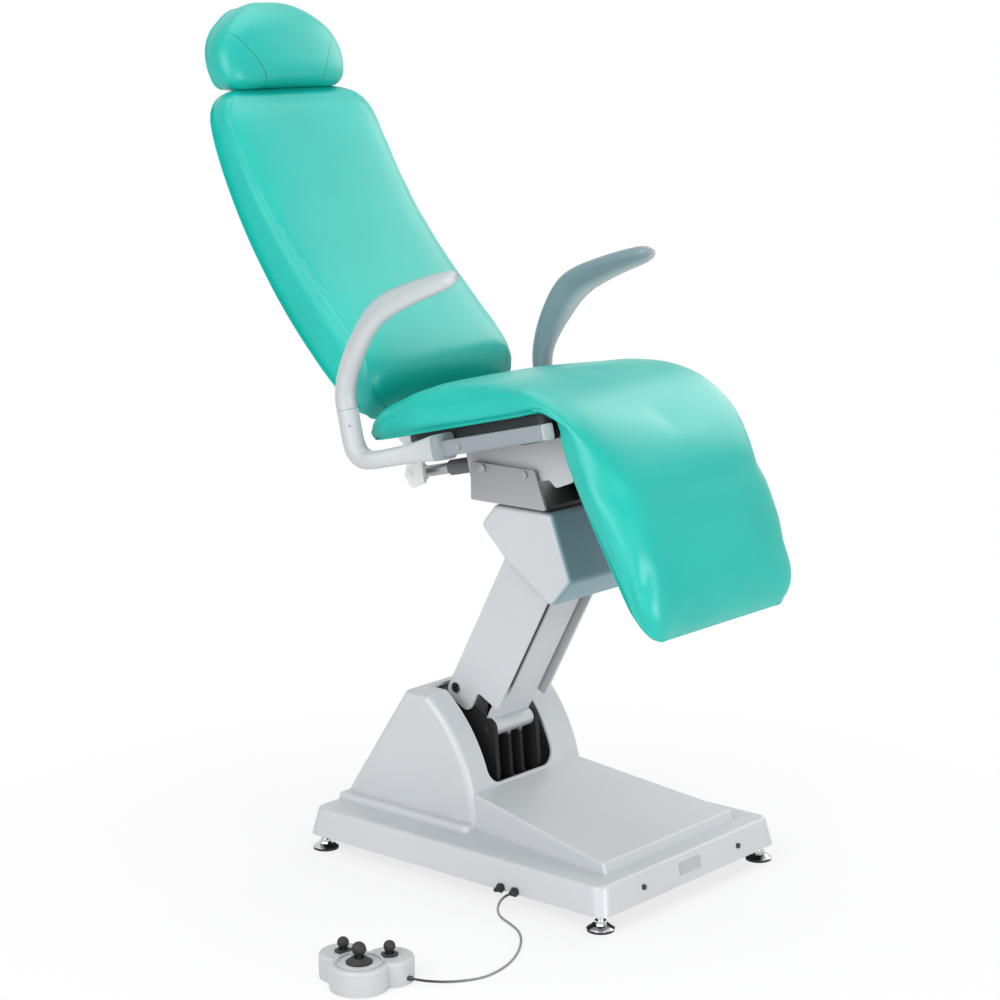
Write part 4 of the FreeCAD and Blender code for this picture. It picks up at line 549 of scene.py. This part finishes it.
def swept(name, rows, side):
    """A bar through oval to round sections, mirrored for the right by side.

    A row holds across, rear, up, turn in degrees, width, height and how square the section is.
    """
    last = len(rows) - 1
    shape = bmesh.new()
    bmesh.ops.create_grid(shape, x_segments=BAR_AROUND, y_segments=BAR_STEPS * last, size=1.0)
    for vertex in shape.verts:
        angle = pi * vertex.co.x
        row = curve_at(rows, (vertex.co.y + 1.0) * 0.5 * last)
        across, rear, up, turn, width, height, square = row
        inward = SEAT_UP * cos(radians(turn)) - SEAT_REAR * sin(radians(turn))
        wide, high = cos(angle), sin(angle)
        wide = (1.0 if wide > 0.0 else -1.0) * abs(wide) ** (2.0 / square)
        high = (1.0 if high > 0.0 else -1.0) * abs(high) ** (2.0 / square)
        vertex.co = seat_point(side * (across + 0.5 * width * wide), rear, up) + inward * (0.5 * height * high)
    bmesh.ops.remove_doubles(shape, verts=shape.verts, dist=WELD)
    bmesh.ops.holes_fill(shape, edges=[edge for edge in shape.edges if edge.is_boundary])
    bmesh.ops.recalc_face_normals(shape, faces=shape.faces)
    for face in shape.faces:
        face.smooth = len(face.verts) < 5
    return object_of(name, shape)


def finish_pad(piece, material):
    """Cover finish, one subdivision and the smooth shading that every pad shares."""
    divide = piece.modifiers.new("Smooth cover", "SUBSURF")
    divide.levels = divide.render_levels = 1
    for polygon in piece.data.polygons:
        polygon.use_smooth = True
    piece.data.materials.append(material)


def material_named(name):
    return bpy.data.materials[name]


class CHAIR_OT_finishes(bpy.types.Operator):
    """Make every finish and give each frame node the one its slot names"""

    bl_idname = "chair.finishes"
    bl_label = "Finishes"

    def execute(self, context):
        colours = context.scene.chair_colours
        made = {
            "vinyl": vinyl_finish("teal_vinyl", colours.vinyl),
            "base_paint": paint_finish("silver_powder_coat", colours.silver, 0.34),
            "black_steel": paint_finish("black_powder_coat", colours.black, 0.45),
            "chrome": metal_finish("chrome_plate", (0.62, 0.63, 0.65), 0.08),
            "steel": metal_finish("ground_steel", (0.42, 0.42, 0.44), 0.28, 0.12),
            "rubber": plastic_finish("black_rubber", (0.012, 0.012, 0.012), 0.55),
            "actuator": plastic_finish("actuator_black", (0.02, 0.02, 0.021), 0.42),
            "panel": plastic_finish("dark_board", (0.016, 0.022, 0.024), 0.5),
            "arm_plastic": plastic_finish("arm_grey", colours.arm, 0.36),
            "white_plate": paint_finish("white_enamel", colours.white, 0.3, 0.02),
            "pedal_plastic": plastic_finish("pedal_grey", colours.pedal, 0.4),
            "clear_ring": clear_finish("clear_ring", (0.70, 0.74, 0.75)),
            "cord": cord_finish("cord_sheath", colours.cord),
            "box_grey": plastic_finish("box_grey", (0.13, 0.13, 0.14), 0.5),
        }
        vinyl_finish("sewn_vinyl", colours.vinyl, context.scene.chair_sizes.seam_width)
        # painted shade: the arm rests' inner faces are painted a deeper bluish grey
        arm_rest = masked_paint("arm_two_tone", colours.arm, (0.215, 0.285, 0.320), 0.36, self.inner_arm_shade)
        support = masked_paint("support_grey", colours.arm, (0.20, 0.26, 0.29), 0.36, self.collar)
        own = {
            # The chassis is black paint, made darker and duller still as painted shade inside the lift slot
            "base_chassis": plastic_finish("chassis_black", (0.005, 0.005, 0.0055), 0.75),
            # painted shade: the front link's foot in the slot and a strip beside the rear link's plate are
            # painted near black
            "front_link": masked_paint("link_paint", colours.silver, rgba(colours.black, 0.2), 0.34,
                                       self.link_slot_and_gap_shade, 0.5),
            # painted shade: the bracket's silver is darkened partly for the shade of the seat and arms above
            # it, and its inner faces are painted black
            "tilt_bracket": masked_paint("bracket_paint", rgba(colours.silver, 0.62), colours.black, 0.36,
                                         self.bracket_inside_shade),
            "side_rails": paint_finish("rail_paint", (0.25, 0.285, 0.305), 0.32),
            "cover_screws": made["black_steel"],
            "front_plate": metal_finish("plate_steel", (0.50, 0.51, 0.53), 0.38, 0.12),
            "lift_pins": made["chrome"],
            # painted shade and painted reflection: the head's front is painted a dark teal where the leg pad
            # shades it
            "head_housing": masked_paint("head_paint", colours.silver, (0.21, 0.37, 0.43), 0.32,
                                         self.head_front_shade_and_reflection),
            "armrest_left": arm_rest,
            "armrest_right": arm_rest,
            "armrest_support_left": support,
            "armrest_support_right": support,
        }
        for part in RECORD["subparts"]:
            node = frame["nodes"][part["node"]]
            node.data.materials.clear()
            node.data.materials.append(own.get(part["node"]) or made[part["material_slot"]])
        return {"FINISHED"}

    @staticmethod
    def link_slot_and_gap_shade(finish):
        """The front link's driven crank, painted dark as painted shade inside the slot, and a painted shadow
        strip for the gap between it and the rear link's right plate.
        """
        place = finish.place()
        gap = finish.ramp(place[0], -0.0300, -0.0400) * finish.ramp(place[2], 0.300, 0.330)
        return finish.ramp(finish.ramp(place[2], 0.245, 0.225) + gap, 0.0, 1.0)

    @staticmethod
    def bracket_inside_shade(finish):
        """The bracket's inner faces, which lie inside its side plates, painted black as painted shade."""
        return finish.ramp(abs(finish.place()[0]), 0.1150, 0.1140)

    @staticmethod
    def head_front_shade_and_reflection(finish):
        """The front of the head, painted a dark teal as painted shade and painted reflection of the pad above
        it.
        """
        place = finish.place()
        return finish.ramp(place[1], -0.095, -0.125) * finish.ramp(abs(place[0]), 0.1096, 0.1055)

    @staticmethod
    def inner_arm_shade(finish):
        """The inside of each arm rest, painted a deeper bluish grey than its outside as painted shade."""
        return finish.ramp(abs(finish.place()[0]), 0.2765, 0.2635)

    @staticmethod
    def collar(finish):
        """The clamp's band round the rail, the line under the arm and the post's set screw."""
        band = finish.ramp(abs(finish.along(SEAT_REAR) + 0.017), 0.0095, 0.0075) * 0.8
        line = finish.ramp(finish.along(SEAT_UP), 0.1470, 0.1474)
        across, rear, up = SET_SCREW
        screws = [1.0 - finish.ramp(finish.distance(seat_point(side * across, rear, up)), 0.0020, 0.0030)
                  for side in (-1.0, 1.0)]
        return finish.ramp(band + line + screws[0] + screws[1], 0.0, 1.0)


class CHAIR_OT_cord(bpy.types.Operator):
    """Lay the foot control's cord from its gland over the floor to the boot"""

    bl_idname = "chair.cord"
    bl_label = "Foot control cord"

    def execute(self, context):
        sizes = context.scene.chair_sizes
        curve = bpy.data.curves.new("foot_control_cord", "CURVE")
        curve.dimensions = "3D"
        spline = curve.splines.new("NURBS")
        spline.points.add(len(CORD_ROUTE) - 1)
        for point, place in zip(spline.points, CORD_ROUTE):
            point.co = (*place, 1.0)
        spline.order_u = 3
        spline.use_endpoint_u = True
        spline.resolution_u = 8
        curve.bevel_depth = sizes.cord_diameter / 2
        curve.bevel_resolution = 5
        curve.use_fill_caps = True
        curve.materials.append(material_named("cord_sheath"))
        cord = new_object("foot_control_cord", curve)
        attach(cord, "base")
        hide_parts("pedal_cord")
        return {"FINISHED"}


class CHAIR_OT_arm_supports(bpy.types.Operator):
    """Make the cast supports that carry the arm rests from the side rails"""

    bl_idname = "chair.arm_supports"
    bl_label = "Arm supports"

    def execute(self, context):
        rows = (
            (0.230, -0.0250, 0.0535, 0.0, 0.0460, 0.0470, 6.0),
            (0.230, -0.0080, 0.0535, 0.0, 0.0460, 0.0465, 6.0),
            (0.233, 0.0150, 0.0525, 0.0, 0.0450, 0.0410, 5.0),
            (0.243, 0.0500, 0.0510, 0.0, 0.0430, 0.0350, 4.0),
            (0.257, 0.0880, 0.0505, 0.0, 0.0420, 0.0325, 3.4),
            (0.266, 0.1150, 0.0505, 6.0, 0.0415, 0.0325, 3.0),
            (0.270, 0.1380, 0.0545, 32.0, 0.0410, 0.0345, 2.6),
            (0.272, 0.1525, 0.0680, 62.0, 0.0400, 0.0370, 2.3),
            (0.273, 0.1575, 0.0870, 86.0, 0.0392, 0.0388, 2.1),
            *((0.273, 0.1580, up, 90.0, 0.0390, 0.0390, 2.0) for up in (0.1080, 0.1300, 0.1486)))
        for hand, side in (("left", 1.0), ("right", -1.0)):
            support = swept(f"arm_support_{hand}", rows, side)
            support.data.materials.append(material_named("support_grey"))
            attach(support, "seat")
            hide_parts(f"armrest_support_{hand}")
        return {"FINISHED"}


class CHAIR_OT_seat_pad(bpy.types.Operator):
    """Upholster seat and leg rest in one cover that bends at the knee"""

    bl_idname = "chair.seat_pad"
    bl_label = "Seat and leg pad"

    def execute(self, context):
        sizes = context.scene.chair_sizes
        pad = lofted("seat_and_leg_pad", self.rows(), SEAT_SECTION, sizes.cell)
        self.square_corners(pad)
        stuffed(pad, self.rests, sizes)
        finish_pad(pad, material_named("teal_vinyl"))
        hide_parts("seat_cushion", "legrest_cushion")
        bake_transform(pad)
        return {"FINISHED"}

    @staticmethod
    def rows():
        """Front and base of the pad from the seat's rear, over the knee, to the leg rest's foot."""
        level, board = 0.0823, 0.0003
        faces = (
            ((0.164, 0.1045), (0.164, 0.1025), 0.196), ((0.1625, 0.1145), (0.1625, 0.0945), 0.208),
            ((0.157, 0.1260), (0.158, 0.0875), 0.219), ((0.147, 0.1390), (0.148, 0.0835), 0.227),
            ((0.120, 0.1535), (0.122, level), 0.232), ((0.060, 0.1625), (0.064, level), 0.235),
            ((-0.007, 0.159), (-0.002, level), 0.235), ((-0.080, 0.153), (-0.076, level), 0.234),
            ((-0.148, 0.148), (-0.140, level), 0.232), (knee_at(112, 0.2815), (-0.190, level), 0.231),
            (knee_at(125, 0.2815), (-0.236, 0.0835), 0.229), (knee_at(138, 0.279), (-0.256, 0.077), 0.228),
            (knee_at(150, 0.2767), (-0.275, 0.064), 0.227),
            (knee_at(162, 0.2767), leg_at(0.030, 0.006), 0.2265),
            (knee_at(172, 0.2767), leg_at(0.080, board), 0.227),
            (knee_at(179.5, 0.283), leg_at(0.150, board), 0.229),
            (leg_at(0.270, 0.071), leg_at(0.235, board), 0.227),
            (leg_at(0.340, 0.060), leg_at(0.326, board), 0.2225),
            (leg_at(0.370, 0.0525), leg_at(0.362, board), 0.214),
            (leg_at(0.388, 0.043), leg_at(0.384, board), 0.203),
            (leg_at(0.400, 0.031), leg_at(0.397, 0.001), 0.190),
            (leg_at(0.4065, 0.018), leg_at(0.405, 0.004), 0.175),
            (leg_at(0.408, 0.0105), leg_at(0.408, 0.0085), 0.160))
        return [(*front, *base, half) for front, base, half in faces]

    @staticmethod
    def square_corners(pad):
        """Carry the rear corners back past the back's levers, between which the rear edge draws in."""
        lever, out, start, run, reach = 0.125, 0.075, 0.09, 0.07, 0.009
        for vertex in pad.data.vertices:
            x, rear, _ = seat_local(vertex.co)
            share = clamped((abs(x) - lever) / out)
            share = share * share * (3.0 - 2.0 * share) * clamped((rear - start) / run)
            vertex.co += SEAT_REAR * reach * share

    @staticmethod
    def rests(normal):
        """True under the seat and behind the leg rest, where the cover lies on a board."""
        return normal.dot((SEAT_REAR - SEAT_UP).normalized()) > 0.6


class CHAIR_OT_back_pad(bpy.types.Operator):
    """Upholster the long curved back"""

    bl_idname = "chair.back_pad"
    bl_label = "Back pad"

    def execute(self, context):
        sizes = context.scene.chair_sizes
        pad = lofted("back_pad", self.rows(), BACK_SECTION, sizes.cell)
        stuffed(pad, self.rests, sizes)
        finish_pad(pad, material_named("teal_vinyl"))
        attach(pad, "backrest")
        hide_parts("back_cushion")
        return {"FINISHED"}

    @staticmethod
    def rows():
        """Half width, base and front of the pad by the share of the panel's arc that lies below."""
        table = (
            (-0.010, 0.138, 0.0110, 0.0150), (-0.008, 0.157, 0.0060, 0.0330), (-0.003, 0.172, 0.0050, 0.0480),
            (0.002, 0.181, PANEL_FRONT, 0.0600), (0.012, 0.1910, PANEL_FRONT, 0.0740),
            (0.025, 0.1980, PANEL_FRONT, 0.0860), (0.045, 0.2025, PANEL_FRONT, 0.0965),
            (0.075, 0.2050, PANEL_FRONT, 0.1035), (0.130, 0.2055, PANEL_FRONT, 0.1085),
            (0.200, 0.2050, PANEL_FRONT, 0.1095),
            (0.310, 0.2045, PANEL_FRONT, 0.1085), (0.420, 0.2040, PANEL_FRONT, 0.1035),
            (0.550, 0.2040, PANEL_FRONT, 0.0955), (0.650, 0.2040, PANEL_FRONT, 0.0885),
            (0.750, 0.2040, PANEL_FRONT, 0.0815), (0.840, 0.2030, PANEL_FRONT, 0.0740),
            (0.905, 0.2000, PANEL_FRONT, 0.0660), (0.948, 0.1915, PANEL_FRONT, 0.0570),
            (0.975, 0.1785, PANEL_FRONT, 0.0470), (0.990, 0.1640, PANEL_FRONT, 0.0370),
            (0.999, 0.1480, PANEL_FRONT, 0.0290), (1.004, 0.1350, 0.0060, 0.0230),
            (1.007, 0.1200, 0.0110, 0.0140))
        return [(*back_at(share, front), *back_at(share, base), half) for share, half, base, front in table]

    @staticmethod
    def rests(normal):
        """True behind the pad, where the cover lies on its panel."""
        return normal.dot(SEAT_REAR) > 0.7


class CHAIR_OT_head_pad(bpy.types.Operator):
    """Upholster the head rest, with its two sewn side seams"""

    bl_idname = "chair.head_pad"
    bl_label = "Head pad"

    def execute(self, context):
        sizes = context.scene.chair_sizes
        pad = lofted("head_pad", self.rows(), HEAD_SECTION, 0.6 * sizes.cell)
        self.hug(pad)
        stuffed(pad, CHAIR_OT_back_pad.rests, sizes)
        finish_pad(pad, material_named("sewn_vinyl"))
        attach(pad, "headrest")
        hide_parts("headrest_cushion")
        return {"FINISHED"}

    @staticmethod
    def rows():
        """Half width, base and front of the dome by height."""
        table = (
            (0.7800, 0.116, 0.026, 0.034), (0.7812, 0.130, 0.016, 0.048), (0.7840, 0.140, 0.008, 0.060),
            (0.790, 0.149, 0.002, 0.071), (0.800, 0.159, 0.0, 0.079), (0.820, 0.1655, 0.0, 0.0835),
            (0.845, 0.167, 0.0, 0.084), (0.870, 0.161, 0.0, 0.0835), (0.893, 0.147, 0.0, 0.082),
            (0.911, 0.129, 0.0, 0.078), (0.927, 0.107, 0.0, 0.072), (0.940, 0.084, 0.0, 0.064),
            (0.949, 0.062, 0.003, 0.055), (0.955, 0.043, 0.012, 0.043), (0.957, 0.030, 0.022, 0.033))
        return [(*head_at(up, front), *head_at(up, base), half) for up, half, base, front in table]

    @staticmethod
    def hug(pad):
        """Let the lower front corners down over the rounded shoulders of the back."""
        middle, out, top, fall, front, depth, drop = 0.04, 0.09, 0.82, 0.04, 0.452, 0.02, 0.006
        for vertex in pad.data.vertices:
            x, rear, up = seat_local(vertex.co)
            share = clamped((abs(x) - middle) / out) * clamped((top - up) / fall)
            vertex.co -= SEAT_UP * drop * share * clamped((front - rear) / depth)


class CHAIR_OT_stage(bpy.types.Operator):
    """Set the floor, lights and camera of the studio"""

    bl_idname = "chair.stage"
    bl_label = "Studio"

    def execute(self, context):
        settings = context.scene.chair_stage
        scene = context.scene
        scene.view_settings.view_transform = "Standard"
        self.floor()
        self.room(scene, settings)
        self.lamps(settings)
        self.camera(scene, settings)
        return {"FINISHED"}

    @staticmethod
    def floor():
        """A white floor that keeps the soft shadow near the chair."""
        shape = bmesh.new()
        bmesh.ops.create_grid(shape, x_segments=2, y_segments=2, size=30.0)
        floor = object_of("studio_floor", shape)
        finish = Finish("floor_white")
        away = finish.ramp(finish.distance((-0.15, -0.05, 0.0)), 0.45, 1.25)
        matt = finish.node("ShaderNodeBsdfDiffuse", {}, {"Color": (0.86, 0.86, 0.86, 1.0)})
        glow = finish.node("ShaderNodeEmission", {}, {"Color": (1.0, 1.0, 1.0, 1.0), "Strength": 1.0})
        share = finish.seen() * (away * 0.22 + 0.78)
        finish.surface(finish.node("ShaderNodeMixShader", {}, {0: share, 1: matt, 2: glow}))
        floor.data.materials.append(finish.material)

    @staticmethod
    def room(scene, settings):
        """Even room light, and white where the camera or a mirror sees the room."""
        scene.world = bpy.data.worlds.new("studio_room")
        light = Finish("studio_room", scene.world, "ShaderNodeOutputWorld")
        even = light.node("ShaderNodeBackground", {}, {
            "Color": (0.93, 0.97, 1.0, 1.0), "Strength": settings.world})
        white = light.node("ShaderNodeBackground", {}, {"Color": (1.0, 1.0, 1.0, 1.0), "Strength": 1.0})
        light.surface(light.node("ShaderNodeMixShader", {}, {0: light.seen(), 1: even, 2: white}))

    @staticmethod
    def lamps(settings):
        """Softboxes, each with its place, its aim, its size and its share of the key light's power."""
        lamps = (("key_softbox", (-2.8, -0.3, 1.9), (0.0, 0.0, 0.6), 2.4, 1.06),
                 ("top_softbox", (0.5, 0.3, 3.6), (0.0, 0.0, 0.8), 2.4, 0.58),
                 ("rim_softbox", (2.7, -0.1, 2.3), (0.0, -0.1, 0.8), 1.6, 0.42),
                 ("front_softbox", (-0.7, -3.4, 0.6), (0.0, 0.0, 0.45), 1.5, 0.88))
        for name, place, aim, size, share in lamps:
            light = bpy.data.lights.new(name, "AREA")
            light.energy = settings.key * share
            light.size = size
            lamp = new_object(name, light)
            lamp.location = place
            lamp.rotation_euler = (Vector(aim) - Vector(place)).to_track_quat("-Z", "Y").to_euler()

    @staticmethod
    def camera(scene, settings):
        lens = bpy.data.cameras.new("photo_camera")
        lens.lens = settings.lens
        lens.sensor_width = SENSOR_MM
        camera = new_object("photo_camera", lens)
        ahead = Vector((-sin(settings.azimuth) * cos(settings.pitch),
                        cos(settings.azimuth) * cos(settings.pitch), -sin(settings.pitch)))
        right = ahead.cross(Vector((0.0, 0.0, 1.0))).normalized()
        up = right.cross(ahead)
        lean = Matrix((right * cos(settings.roll) + up * sin(settings.roll),
                       up * cos(settings.roll) - right * sin(settings.roll), -ahead)).transposed()
        camera.matrix_world = Matrix.Translation(VIEW_AIM - ahead * settings.distance) @ lean.to_4x4()
        scene.camera = camera


class CHAIR_PT_panel(bpy.types.Panel):
    """Lists the chair's operators and settings"""

    bl_idname = "CHAIR_PT_panel"
    bl_label = "Treatment chair"
    bl_space_type = "VIEW_3D"
    bl_region_type = "UI"
    bl_category = "Chair"

    def draw(self, context):
        for operator in OPERATORS:
            self.layout.operator(operator.bl_idname)
        for group in ("chair_colours", "chair_sizes", "chair_stage"):
            settings = getattr(context.scene, group)
            for key in settings.__annotations__:
                self.layout.prop(settings, key)


OPERATORS = (CHAIR_OT_stage, CHAIR_OT_finishes, CHAIR_OT_cord, CHAIR_OT_arm_supports, CHAIR_OT_seat_pad,
             CHAIR_OT_back_pad, CHAIR_OT_head_pad)
CLASSES = (ChairColours, ChairSizes, StageSettings, *OPERATORS, CHAIR_PT_panel)


def register():
    for kind in CLASSES:
        bpy.utils.register_class(kind)
    bpy.types.Scene.chair_colours = PointerProperty(type=ChairColours)
    bpy.types.Scene.chair_sizes = PointerProperty(type=ChairSizes)
    bpy.types.Scene.chair_stage = PointerProperty(type=StageSettings)


def unregister():
    for key in ("chair_colours", "chair_sizes", "chair_stage"):
        delattr(bpy.types.Scene, key)
    for kind in reversed(CLASSES):
        bpy.utils.unregister_class(kind)


def main():
    register()
    for operator in OPERATORS:
        family, name = operator.bl_idname.split(".")
        getattr(getattr(bpy.ops, family), name)()
    bpy.context.view_layer.update()


if __name__ == "__main__":
    main()
